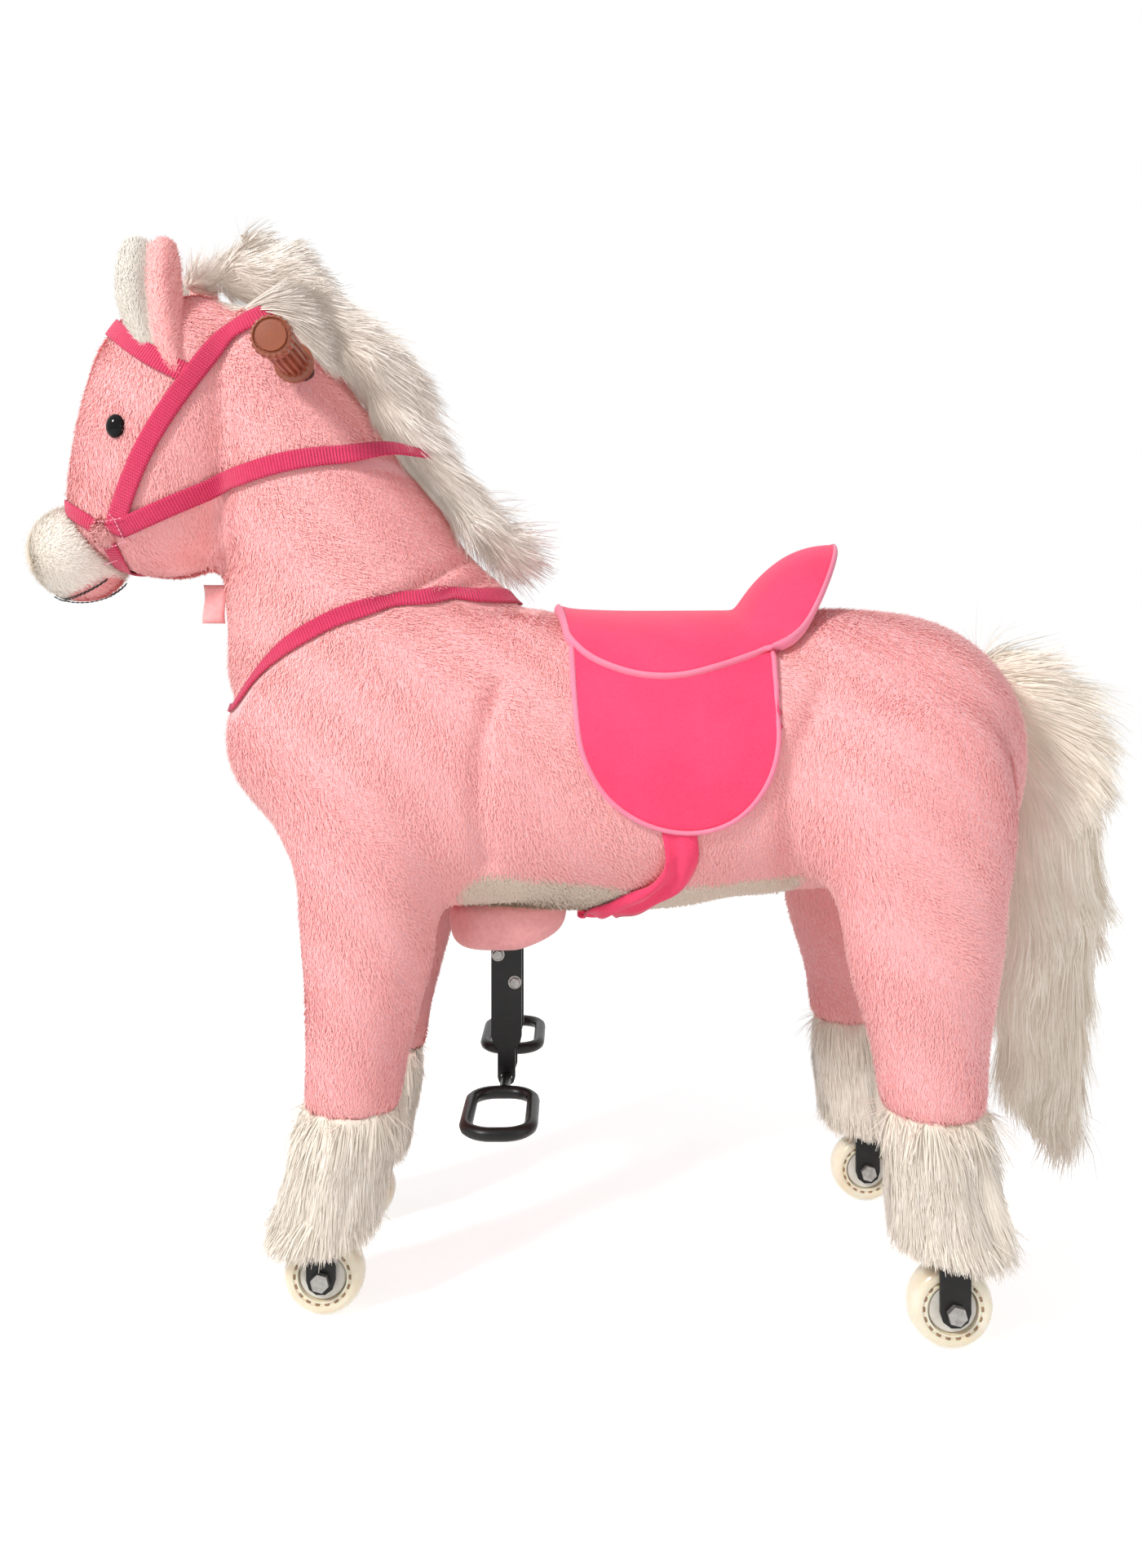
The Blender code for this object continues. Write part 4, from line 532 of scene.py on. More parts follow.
lumps = np.sin(places @ lump_waves.T + lump_turns).sum(1) / math.sqrt(LUMP_WAVES)
places += outward * (lumps * LUMP_DEPTH)[:, None]
places -= outward * (np.exp(-(seam_distance(places, COLLAR) / COLLAR_WIDTH) ** 2) * COLLAR_DEPTH)[:, None]
drawn_in = rise(places[:, 2], 0.29, 0.04) * (1 - 0.7 * rise(places[:, 2], 0.59, 0.02))
places -= outward * (drawn_in * PILE_ROOM)[:, None]
under_seat = np.clip(np.minimum(places[:, 0] + 0.035, 0.205 - places[:, 0]) / 0.035, 0, 1)
places[:, 2] -= SEAT_ROOM * under_seat * rise(places[:, 2], 0.50, 0.05)
set_points(skin.data, places)


# %% Cut the skin into coats
SPLIT_X = 0.060


def side_of(source, name, planes):
    """A copy of a mesh that keeps what lies on the positive side of each plane."""
    def cut(shape):
        for place, normal in planes:
            bmesh.ops.bisect_plane(shape, geom=shape.verts[:] + shape.edges[:] + shape.faces[:], dist=1e-6,
                                   plane_co=place, plane_no=normal, clear_inner=True)

    mesh = bpy.data.meshes.new(name)
    reworked(mesh, cut, source=source.data)
    mesh.shade_smooth()
    return linked(name, mesh)


split = Vector((SPLIT_X, 0, 0))
neck_coat = side_of(skin, "neck_coat", [(STEER, STEER_AXIS)])
front_coat = side_of(skin, "front_coat", [(STEER, -STEER_AXIS), (split, -FORE)])
rear_coat = side_of(skin, "rear_coat", [(STEER, -STEER_AXIS), (split, FORE)])
skin_tree = tree_of(skin)
bpy.data.objects.remove(skin)

# %% [markdown]
# ## Fur as blades
#
# Plush is short pile and the mane is long pile, but both are the same thing: fibres that leave the cloth,
# lie along a combing direction and bend. A geometry tree scatters points over the cloth, stands one narrow
# blade on each, and bends the blades by a noise, so that neighbours lie together in locks. The cloth carries
# three attributes: cover (how dense), comb (which way) and long (how long).


# %% The fur tree
def geometry_graph(name, inputs):
    """The graph and input node of a new geometry tree with one output. inputs gives each input's kind."""
    tree = bpy.data.node_groups.new(name, "GeometryNodeTree")
    for socket, kind in inputs.items():
        tree.interface.new_socket(socket, in_out="INPUT", socket_type=f"NodeSocket{kind}")
    tree.interface.new_socket("Geometry", in_out="OUTPUT", socket_type="NodeSocketGeometry")
    g = Graph(tree)
    return g, g.add("NodeGroupInput")


def fur_tree(segments):
    g, given = geometry_graph(f"fur in {segments} steps", {
        "Geometry": "Geometry", "Density": "Float", "Length": "Float", "Width": "Float", "Lift": "Float",
        "Spread": "Float", "Wave": "Float", "Wave Scale": "Float", "Droop": "Vector", "Seed": "Int",
        "Material": "Material"})

    def named(name, kind="FLOAT"):
        return g.add("GeometryNodeInputNamedAttribute", {"data_type": kind}, {"Name": name})

    def stored(geometry, name, value, kind="FLOAT"):
        return g.add("GeometryNodeStoreNamedAttribute", {"data_type": kind, "domain": "POINT"},
                     {"Geometry": geometry, "Name": name, "Value": value})

    grid = g.add("GeometryNodeMeshGrid", {}, {"Size X": 1.0, "Size Y": 1.0, "Vertices X": 2,
                                              "Vertices Y": segments + 1})
    across = g.add("ShaderNodeSeparateXYZ", {}, {0: g.add("GeometryNodeInputPosition")})
    along = across.out("Y") + 0.5
    thin = 1 - along ** 2 * 0.75
    blade = g.add("GeometryNodeSetPosition", {}, {
        "Geometry": stored(grid, "along", along),
        "Position": g.add("ShaderNodeCombineXYZ", {}, {"X": across * thin * -1.0, "Z": along})})

    scattered = g.add("GeometryNodeDistributePointsOnFaces", {"distribute_method": "RANDOM"}, {
        "Mesh": given, "Density": given.out("Density") * named("cover"), "Seed": given.out("Seed")})
    normal = scattered.out("Normal")

    def chance(low, high, turn, kind="FLOAT"):
        return g.add("FunctionNodeRandomValue", {"data_type": kind},
                     {"Min": low, "Max": high, "Seed": given.out("Seed") + turn})

    roots = stored(scattered, "tone", chance(0.0, 1.0, 3))
    roots = stored(roots, "ground", normal, "FLOAT_VECTOR")
    lift = given.out("Lift")
    aside = g.vectors("CROSS_PRODUCT", normal, chance((-1.0, -1.0, -1.0), (1.0, 1.0, 1.0), 5, "FLOAT_VECTOR"))
    stray = g.scaled(aside, given.out("Spread"))
    heading = g.vectors("ADD", g.vectors("ADD", g.scaled(named("comb", "FLOAT_VECTOR"), 1 - lift),
                                         g.scaled(normal, lift)), stray)
    turned = g.add("FunctionNodeAxesToRotation", {"primary_axis": "Z", "secondary_axis": "Y"},
                   {"Primary Axis": heading, "Secondary Axis": normal})
    size = g.add("ShaderNodeCombineXYZ", {}, {
        "X": given.out("Width"), "Y": 1.0, "Z": given.out("Length") * named("long") * chance(0.7, 1.15, 9)})
    blades = g.add("GeometryNodeInstanceOnPoints", {}, {"Points": roots, "Instance": blade,
                                                        "Rotation": turned, "Scale": size})
    real = g.add("GeometryNodeRealizeInstances", {}, {"Geometry": blades})
    swirl = g.add("ShaderNodeTexNoise", {}, {"Vector": g.add("GeometryNodeInputPosition"),
                                             "Scale": given.out("Wave Scale"), "Detail": 2.0}, key="Color")
    sway = g.scaled(g.vectors("SUBTRACT", swirl, (0.5, 0.5, 0.5)), given.out("Wave"))
    bend = g.scaled(g.vectors("ADD", sway, given.out("Droop")), named("along") ** 2 * named("long"))
    bent = g.add("GeometryNodeSetPosition", {}, {"Geometry": real, "Offset": bend})
    painted = g.add("GeometryNodeSetMaterial", {}, {"Geometry": bent, "Material": given.out("Material")})
    g.add("NodeGroupOutput", {}, {0: painted})
    return g.tree


FUR_TREES = {segments: fur_tree(segments) for segments in (1, 3, 4)}


def set_field(mesh, name, values, kind="FLOAT"):
    old = mesh.attributes.get(name)
    if old:
        mesh.attributes.remove(old)
    made = mesh.attributes.new(name, kind, "POINT")
    made.data.foreach_set("vector" if kind == "FLOAT_VECTOR" else "value",
                          np.asarray(values, np.float32).ravel())


def laid_flat(vectors, normals):
    """Directions turned into the surface, one for each vertex."""
    return unit(vectors - normals * (vectors * normals).sum(1)[:, None])


def covered_area(mesh):
    mesh.calc_loop_triangles()
    corners = np.array([t.vertices[:] for t in mesh.loop_triangles])
    points = points_of(mesh)[corners]
    cover = np.zeros(len(mesh.vertices))
    mesh.attributes["cover"].data.foreach_get("value", cover)
    areas = np.linalg.norm(np.cross(points[:, 1] - points[:, 0], points[:, 2] - points[:, 0]), axis=1) / 2
    return float((areas * cover[corners].mean(1)).sum())


def shaded_as_cloth(pile, share):
    """Leans the blades' normals towards the cloth's: pile catches light as a surface, not as slats."""
    mesh = pile.data
    ground = np.zeros(len(mesh.vertices) * 3)
    mesh.attributes["ground"].data.foreach_get("vector", ground)
    ground = ground.reshape(-1, 3)
    own = normals_of(mesh)
    own *= np.where((own * ground).sum(1) < 0, -1, 1)[:, None]
    mesh.normals_split_custom_set_from_vertices(unit(ground * share + own * (1 - share)).tolist())


def grown(name, mesh, tree, values):
    """What a geometry tree makes of a mesh, as a plain object."""
    carrier = linked(f"{name}_carrier", mesh)
    step = carrier.modifiers.new("growth", "NODES")
    step.node_group = tree
    for socket in tree.interface.items_tree:
        if socket.in_out == "INPUT" and socket.name in values:
            step[socket.identifier] = values[socket.name]
    return evaluated_copy(carrier, name)


def furred(cloth, name, blades, length, width, finish, lift, spread, wave=0.0, wave_scale=30.0,
           droop=(0, 0, 0), segments=1, seed=1, share=0.85):
    """The pile that stands on a cloth, as a plain mesh of its own."""
    pile = grown(name, cloth.data.copy(), FUR_TREES[segments], {
        "Density": blades / covered_area(cloth.data), "Length": length, "Width": width, "Lift": lift,
        "Spread": spread, "Wave": wave, "Wave Scale": wave_scale, "Droop": droop, "Seed": seed,
        "Material": finish.material})
    pile.data.shade_smooth()
    shaded_as_cloth(pile, share)
    for field in ("comb", "cover", "long", "ground", "belly"):
        if field in pile.data.attributes:
            pile.data.attributes.remove(pile.data.attributes[field])
    return pile


# %% [markdown]
# ## Plush and fur finishes
#
# Plush looks soft because light leaves it from the tips and dies between the fibres. The blades carry where
# they are along their length, so the roots can be darker than the tips, and every blade has a tone of its
# own. Broad noise stands for places that were brushed another way. A blade seen from behind would be shaded
# as if it faced away from the light, so there its normal is turned back, part of the way by the cloth's and
# the rest by the blade's own. A weak glow stands for light that wanders between the fibres.


# %% Pink plush, cream plush and long fur
def fibre_finish(name, root, tip, other_tip, patch_scale=9.0, patch=0.35, roughness=0.75, outward=0.0,
                 glow=0.0, light=(1.0, 0.93, 0.86)):
    """outward is the cloth's part in the normal of a blade seen from behind."""
    made = Finish(name, roughness=roughness, sheen_weight=0.25, sheen_roughness=0.5)
    tips = made.mix(made.attribute("tone"), tip, other_tip)
    shaded = made.mix(made.ramp(made.attribute("along"), (0.0, 0.0), (0.7, 1.0)), root, tips)
    brushed = made.ramp(made.noise(patch_scale, 3.0, 0.6), (0.35, 0.0), (0.7, 1.0))
    made.set("Base Color", made.mix(brushed * patch, shaded, other_tip))
    behind = made.add("ShaderNodeNewGeometry", key="Backfacing")
    smooth = made.scaled(made.add("ShaderNodeNewGeometry", key="Normal"), 1 - behind * (1 + outward))
    flat = made.scaled(made.add("ShaderNodeNewGeometry", key="True Normal"), behind * (1.001 - outward))
    made.set("Normal", made.add("ShaderNodeVectorMath", {"operation": "NORMALIZE"},
                                {0: made.vectors("ADD", smooth, flat)}))
    if glow:
        made.set("Emission Color", (*light, 1))
        made.set("Emission Strength", glow)
    return made


pink_pile = fibre_finish("pink plush pile", (0.90, 0.375, 0.385), (0.97, 0.452, 0.450), (0.985, 0.56, 0.545),
                         6.0, 0.42, outward=0.30, glow=0.045, light=(1.0, 0.16, 0.14))
cream_pile = fibre_finish("cream plush pile", (0.93, 0.84, 0.72), (0.98, 0.92, 0.84), (1.0, 0.96, 0.90),
                          outward=0.20, glow=0.05)
lining_pile = fibre_finish("ear lining pile", (0.66, 0.60, 0.52), (0.76, 0.71, 0.64), (0.82, 0.78, 0.72))
belly_pile = fibre_finish("belly plush pile", (0.66, 0.53, 0.41), (0.78, 0.65, 0.52), (0.88, 0.77, 0.65))
mane_hair = fibre_finish("mane hair", (0.84, 0.75, 0.67), (0.99, 0.95, 0.90), (0.62, 0.54, 0.48), 26.0, 0.45,
                         0.55, glow=0.09)
tail_hair = fibre_finish("tail hair", (0.86, 0.77, 0.65), (0.99, 0.94, 0.86), (0.68, 0.60, 0.50), 20.0, 0.45,
                         0.55, glow=0.10)
cuff_hair = fibre_finish("cuff hair", (0.90, 0.82, 0.71), (0.98, 0.93, 0.86), (0.76, 0.68, 0.58), 24.0, 0.35,
                         0.55, glow=0.03)


def cloth_under(name, colour, darker, scale=900.0, distance=0.0006, roughness=0.9, belly=None):
    """The woven ground that the pile stands on. belly is its colour where the field of that name says so."""
    made = Finish(name, roughness=roughness, sheen_weight=0.3)
    grain = made.noise(scale, 2.0, 0.6)
    tone = made.mix(made.ramp(grain, (0.3, 0.0), (0.7, 1.0)), darker, colour)
    made.set("Base Color", made.mix(made.attribute("belly"), tone, belly) if belly else tone)
    made.bump(grain, distance)
    return made


cream_ground = cloth_under("cream fur ground", (0.95, 0.88, 0.77), (0.84, 0.75, 0.63))
coat_ground = cloth_under("plush ground", (0.97, 0.52, 0.54), (0.92, 0.44, 0.46), belly=(0.68, 0.56, 0.45))


def dress(piece, finish):
    piece.data.materials.clear()
    piece.data.materials.append(finish.material)

# %% [markdown]
# ## Webbing straps
#
# The bridle, the reins and the chest strap are ribbed webbing that is sewn down on the plush. Each one is a
# ribbon laid on the skin along a line of places, which are found by looking through the camera at the skin.
# The line is mirrored for the far side and closed over the top, so a strap goes all the way round. Its UV
# map holds length and width in metres, so that the ribs run square across it.


# %% Lines and ribbons on the skin
EYE_POINT = Vector((0, -0.986, 0.495))
FOCAL, MIDDLE_U, HORIZON_V = 1388, 700, 850
MIRROR = np.array((1, -1, 1))
RIBBON_STEP = 0.004


def seen_at(tree, u, v):
    """Place and outward direction of a surface at a picture point, or nearest to it just off the outline."""
    sight = Vector(((u - MIDDLE_U) / FOCAL, 1, (HORIZON_V - v) / FOCAL))
    hit = tree.ray_cast(EYE_POINT, sight)[:2]
    return tree.find_nearest(EYE_POINT + sight * -EYE_POINT.y)[:2] if hit[0] is None else hit


def on_skin(u, v):
    return seen_at(skin_tree, u, v)[0]


def even_line(points, step, closed=False):
    """The same line with places a fixed step apart, and its length."""
    rows = np.array([tuple(p) for p in points])
    if closed:
        rows = np.vstack([rows, rows[:1]])
    reach = np.concatenate([[0], np.cumsum(np.linalg.norm(np.diff(rows, axis=0), axis=1))])
    at = np.linspace(0, reach[-1], max(int(reach[-1] / step), 2) + 1)
    made = np.stack([np.interp(at, reach, rows[:, i]) for i in range(3)], axis=1)
    return (made[:-1] if closed else made), reach[-1]


def both_sides(pixels, at_front=False):
    """A line on the near side of the skin and its mirror image, joined at the back or the front end."""
    near = np.array([tuple(on_skin(u, v)) for u, v in curve_between(pixels, 12)])
    far = near * MIRROR
    return np.vstack([near[::-1], far]) if at_front else np.vstack([near, far[::-1]])


def averaged(rows, closed, rounds=3):
    rows = np.array(rows, float)
    for _ in range(rounds):
        before, after = np.roll(rows, 1, 0), np.roll(rows, -1, 0)
        if not closed:
            before[0], after[-1] = rows[0], rows[-1]
        rows = (before + 2 * rows + after) / 4
    return rows


def tangents_of(line, closed):
    ahead, behind = np.roll(line, -1, 0), np.roll(line, 1, 0)
    if not closed:
        ahead[-1], behind[0] = line[-1], line[0]
    return unit(ahead - behind)


def strip_mesh(name, low, high, lengths, widths, closed):
    """A closed flat strip between two grids of places, with metres as UV."""
    rows, cols = low.shape[:2]
    verts = np.concatenate([low.reshape(-1, 3), high.reshape(-1, 3)])
    top, faces = rows * cols, []
    for i in range(rows if closed else rows - 1):
        k = (i + 1) % rows
        for j in range(cols - 1):
            faces.append((i * cols + j, i * cols + j + 1, k * cols + j + 1, k * cols + j))
            faces.append((top + i * cols + j, top + k * cols + j, top + k * cols + j + 1,
                          top + i * cols + j + 1))
        for j in (0, cols - 1):
            faces.append((i * cols + j, k * cols + j, top + k * cols + j, top + i * cols + j))
    if not closed:
        for i in (0, rows - 1):
            for j in range(cols - 1):
                faces.append((i * cols + j, top + i * cols + j, top + i * cols + j + 1, i * cols + j + 1))
    made = add_object(name, verts, faces)
    uv = made.data.uv_layers.new(name="UVMap")
    for loop in made.data.loops:
        at = loop.vertex_index % top
        uv.data[loop.index].uv = (lengths[at // cols], widths[at % cols])
    return made


def ribbon(name, line, width, lift=0.0024, thickness=0.0016, closed=False, fold=None, narrow=None):
    """A strap on the skin along a line, as wide everywhere unless narrow gives a share for a place."""
    line = averaged(even_line(line, RIBBON_STEP, closed)[0], closed)
    normals = unit(averaged([skin_tree.find_nearest(tuple(p))[1] for p in line], closed, 6))
    sides = unit(np.cross(tangents_of(line, closed), normals))
    shares = np.linspace(-0.5, 0.5, 7)
    low = np.zeros((len(line), len(shares), 3))
    for i, (place, normal, side) in enumerate(zip(line, normals, sides)):
        wide = width * (narrow(i / len(line)) if narrow else 1)
        for j, share in enumerate(shares):
            hit = np.array(skin_tree.find_nearest(tuple(place + side * wide * share))[0])
            low[i, j] = hit + normal * (lift + (fold(i * RIBBON_STEP, share) if fold else 0))
    for j in range(len(shares)):
        low[:, j] = averaged(low[:, j], closed, 4)
    high = low + normals[:, None, :] * thickness
    return strip_mesh(name, low, high, np.arange(len(line)) * RIBBON_STEP, shares * width, closed)


# %% Webbing finish
def webbing_finish(name, deep, bright, rib=0.0024):
    made = Finish(name, roughness=0.55, sheen_weight=0.2)
    length = made.add("ShaderNodeSeparateXYZ", {}, {0: made.add("ShaderNodeUVMap")})
    across = length.out("Y")

    def wave(value, turn, phase):
        return made.maths_of("SINE", value * (math.tau / turn) + phase) * 0.5 + 0.5

    cords = wave(across, rib * 0.8, wave(length, rib * 2, 0.0) * math.pi)
    height = wave(length, rib, 0.0) * 0.7 + cords * 0.3
    edge = made.maths_of("ABSOLUTE", across) * 70.0
    # The colour follows the rib height as well as the bump: painted highlight on the rib tops and painted
    # shade in the grooves between them, under a random mottle. It is also a little darker towards the edges.
    tone = height * 0.75 + made.noise(160.0, 2.0) * 0.35
    rib_light_and_mottle = made.ramp(tone - edge ** 6 * 0.12, (0.15, 0.0), (0.85, 1.0))
    made.set("Base Color", made.mix(rib_light_and_mottle, deep, bright))
    made.bump(height, 0.0010)
    return made

# The two colours are one magenta, shown as painted shade in the rib grooves and painted highlight on the rib
# tops.
webbing = webbing_finish("ribbed webbing", (0.50, 0.004, 0.055), (0.84, 0.024, 0.138))

# %% Lay the bridle, the reins and the chest strap
STRAP, CHEST_STRAP, GIRTH = 0.0162, 0.0150, 0.026
brow_line = both_sides(((137, 401), (158, 418), (185, 437), (212, 451), (240, 464)), at_front=True)
crown_line = both_sides(((139, 658), (148, 628), (161, 590), (180, 547), (205, 505), (236, 462), (262, 430),
                         (290, 405), (318, 390), (344, 383)))
nose_line = both_sides(((84, 622), (102, 634), (120, 645), (134, 662), (145, 682), (156, 704)))
rein_line = both_sides(((143, 650), (180, 633), (222, 614), (262, 598), (330, 573), (390, 562), (440, 562),
                        (482, 572), (525, 594), (566, 626)))
strap_line = both_sides(((287, 872), (300, 851), (320, 824), (350, 796), (380, 776), (415, 758), (450, 746),
                         (495, 736), (540, 731), (590, 731), (640, 735)))
REIN_LENGTH = even_line(rein_line, RIBBON_STEP)[1]


def over_mane(along, share):
    """The rein rises over the mane near the nape, which is the middle of its length."""
    away = abs(along - REIN_LENGTH / 2)
    near, nape = min(max((0.135 - away) / 0.045, 0), 1), min(max((0.085 - away) / 0.06, 0), 1)
    return 0.0165 * near * near * (3 - 2 * near) + 0.010 * nape


def at_nape(share):
    """The rein narrows towards the nape, where the mane closes over it."""
    return 0.35 + 0.65 * min(max((abs(share - 0.5) * REIN_LENGTH - 0.045) / 0.075, 0), 1)


def at_chest(share):
    """The chest strap sinks into the plush at the front, so less of its width shows."""
    return 0.30 + 0.70 * min(min(share, 1 - share) / 0.11, 1)


straps = {
    "browband": ribbon("browband", brow_line, STRAP),
    "crown_strap": ribbon("crown_strap", crown_line, STRAP, lift=0.0030),
    "noseband": ribbon("noseband", nose_line, STRAP * 0.82, lift=0.0022, closed=True),
    "rein": ribbon("rein", rein_line, STRAP, lift=0.0034, fold=over_mane, narrow=at_nape),
    "breast_strap": ribbon("breast_strap", strap_line, CHEST_STRAP, lift=0.0020, closed=True,
                           narrow=at_chest),
}
for piece in straps.values():
    dress(piece, webbing)
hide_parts("bridle")
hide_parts("reins")
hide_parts("chest_strap")
for name in ("browband", "crown_strap", "noseband"):
    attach(straps[name], "head_and_neck")
for name in ("rein", "breast_strap"):
    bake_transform(straps[name])

# %% [markdown]
# ## Muzzle, eyes and ears
#
# The muzzle is a ball of cream plush with a row of black stitches for a mouth and a pink chin below it. The
# eyes are black domes with a stem that goes through the cloth. An ear is two thin cushions sewn together,
# cream in front and pink behind, so that from the side both show with the seam between them.


# %% Soft forms taken from the plain solids
def form_of(node, name, voxel, inset, rounds=10):
    """A smooth closed copy of a plain solid, drawn in a little to leave room for the pile."""
    raw = linked(f"{name}_raw", cad_nodes[node].data.copy())
    reworked(raw.data, merge_doubles)
    return remeshed(raw, name, voxel, rounds, inset)


def comb_by(guides, points):
    """A combing direction at each point, from the nearest of a few guides given for the near side."""
    folded = points.copy()
    folded[:, 1] = -np.abs(points[:, 1])
    total, weights = np.zeros_like(points), np.zeros(len(points))
    for place, heading in guides:
        weight = 1 / (np.linalg.norm(folded - np.array(place), axis=1) ** 3 + 1e-6)
        total += weight[:, None] * np.array(heading, float)
        weights += weight
    total /= weights[:, None]
    total[:, 1] *= np.where(points[:, 1] > 0, -1, 1)
    return total


def fur_fields(cloth, guides, cover=None, long=None):
    mesh = cloth.data
    points = points_of(mesh)
    set_field(mesh, "comb", laid_flat(comb_by(guides, points), normals_of(mesh)), "FLOAT_VECTOR")
    set_field(mesh, "cover", np.ones(len(points)) if cover is None else cover)
    set_field(mesh, "long", np.ones(len(points)) if long is None else long)


# %% Muzzle with its stitched mouth
muzzle = form_of("muzzle", "muzzle_ball", 0.003, 0.0035)
points = points_of(muzzle.data)
fur_fields(muzzle, [((-0.44, -0.03, 0.62), (0.5, 0, 0.3)), ((-0.40, -0.03, 0.62), (1, 0, 0.1)),
                    ((-0.43, -0.02, 0.585), (0.4, 0, -0.8))])
dress(muzzle, cream_ground)
JAW_RISE, JAW_X = 0.383, -0.431
jaw_line = points[:, 2].min() + 0.0045 + (points[:, 0] - JAW_X) * JAW_RISE
below = np.clip((jaw_line - points[:, 2]) / 0.002, 0, 1)
set_field(muzzle.data, "cover", 1 - below)
muzzle_pile = furred(muzzle, "muzzle_pile", 30000, 0.0066, 0.0009, cream_pile, lift=0.26,
                     spread=0.42, seed=31)
set_field(muzzle.data, "cover", below)
chin_pile = furred(muzzle, "chin_pile", 8000, 0.0055, 0.0009, pink_pile, lift=0.26,
                   spread=0.38, seed=32)
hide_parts("muzzle")
for piece in (muzzle, muzzle_pile, chin_pile):
    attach(piece, "head_and_neck")
# %% Ears as two sewn cushions
EAR_FRONT = ((-0.3450, 0.777, 0.0065, 0.009, 0.057), (-0.3525, 0.797, 0.0120, 0.015, 0.055),
             (-0.3575, 0.820, 0.0150, 0.019, 0.053), (-0.3578, 0.846, 0.0146, 0.017, 0.052),
             (-0.3568, 0.864, 0.0110, 0.011, 0.052))
EAR_BACK = ((-0.3200, 0.752, 0.0085, 0.014, 0.056), (-0.3265, 0.773, 0.0115, 0.018, 0.055),
            (-0.3320, 0.802, 0.0118, 0.018, 0.054), (-0.3342, 0.832, 0.0106, 0.018, 0.052),
            (-0.3352, 0.852, 0.0108, 0.015, 0.052), (-0.3355, 0.865, 0.0085, 0.009, 0.052))
EAR_SEAM = ((0.757, -0.3330), (0.790, -0.3410), (0.822, -0.3452), (0.850, -0.3462), (0.875, -0.3462))


def ear_cushion(rings, sign):
    """One padded side of the ear: x, z, two radii and the distance from the middle for each ring."""
    low, high = rings[0], rings[-1]
    root = (low[0] + 0.002, low[1] - 0.004, low[2] / 2, low[3] / 2, low[4])
    crown = (high[0], high[1] + 0.0035, high[2] / 2, high[3] / 2, high[4])
    return closed_loft([oval((x, sign * y, z), long, wide, count=32)
                        for x, z, long, wide, y in (root, *rings, crown)])


for side, sign in SIDES:
    ear = moulded(f"ear_leaf_{side}", [ear_cushion(EAR_FRONT, sign), ear_cushion(EAR_BACK, sign)], 0.0022, 5)
    spots = points_of(ear.data)
    inner = np.clip((level_on(EAR_SEAM, spots[:, 2]) - spots[:, 0]) / 0.0012 + 0.5, 0, 1)
    set_field(ear.data, "lining", inner)
    fur_fields(ear, [((-0.34, -0.05, 0.83), (0.0, 0, 1.0))])
    cloth = Finish(f"ear cloth {side}", roughness=0.9)
    cloth.set("Base Color", cloth.mix(cloth.attribute("lining"), (0.92, 0.45, 0.47), (0.84, 0.76, 0.64)))
    dress(ear, cloth)
    set_field(ear.data, "cover", 1 - inner)
    outer_pile = furred(ear, f"ear_pile_{side}", 10500, 0.0050, 0.0009, pink_pile, lift=0.26,
                        spread=0.5, seed=41)
    set_field(ear.data, "cover", inner)
    inner_pile = furred(ear, f"ear_lining_pile_{side}", 7000, 0.0055, 0.0009, lining_pile,
                        lift=0.26, spread=0.4, seed=42)
    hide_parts(f"ear_{side}")
    for piece in (ear, outer_pile, inner_pile):
        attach(piece, "head_and_neck")

# %% Mouth stitches and cheek tuft
def along_skin(pixels, tree, lift):
    """Places and outward directions on a piece's surface along a line of picture points."""
    places, outwards = [], []
    for u, v in curve_between(pixels, 8):
        hit, normal = seen_at(tree, u, v)
        places.append(np.array(hit + normal * lift))
        outwards.append(np.array(normal))
    return np.array(places), np.array(outwards)


mouth, mouth_out = along_skin(((70, 731), (84, 729), (98, 724), (112, 717), (125, 709)), tree_of(muzzle),
                              0.0050)
tuft_at = on_skin(127, 651)
tuft_out = Vector(skin_tree.find_nearest(tuft_at)[1])
for side, sign in (("left", 1), ("right", -1)):
    verts, faces = ball(tuple(tuft_at - tuft_out * 0.001), 0.0085, 0.0065, 0.0110, rows=12, count=24)
    tuft = add_object(f"cheek_tuft_{side}", [(x, y * sign, z) for x, y, z in verts], faces)
    fur_fields(tuft, [((-0.4, -0.05, 0.62), (0.3, 0, -0.9))])
    dress(tuft, coat_ground)
    set_field(tuft.data, "belly", np.zeros(len(tuft.data.vertices)))
    tuft_pile = furred(tuft, f"cheek_tuft_pile_{side}", 2600, 0.0050, 0.0009, pink_pile,
                       lift=0.5, spread=0.4, seed=33)
    for piece in (tuft, tuft_pile):
        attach(piece, "head_and_neck")

# %% Eyes
gloss_black = Finish("eye glass", roughness=0.04, specular_ior_level=0.14)
gloss_black.set("Base Color", gloss_black.mix(gloss_black.noise(40.0) * 0.5, (0.004, 0.004, 0.005),
                                              (0.012, 0.009, 0.008)))
spot = on_skin(143, 523)
for side, sign in SIDES:
    place = Vector((spot.x, spot.y * -sign, spot.z))
    verts, faces = ball((0, 0, 0), 0.0080, 0.0060, 0.0098, rows=20, count=40)
    out = Vector(skin_tree.find_nearest(place)[1])
    turn = (SIDE * sign).rotation_difference(out)
    eye = add_object(f"eye_dome_{side}", [place + turn @ Vector(v) + out * 0.0015 for v in verts], faces)
    dress(eye, gloss_black)
    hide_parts(f"eye_{side}")
    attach(eye, "head_and_neck")

# %% [markdown]
# ## Mane, tail and cuffs
#
# These are long fur sewn on in strips. Under each one lies a pad of the same colour, so that no skin shows
# through, and the strands leave it along a few combing guides: a place and a heading for the near side,
# blended between and mirrored for the far side.

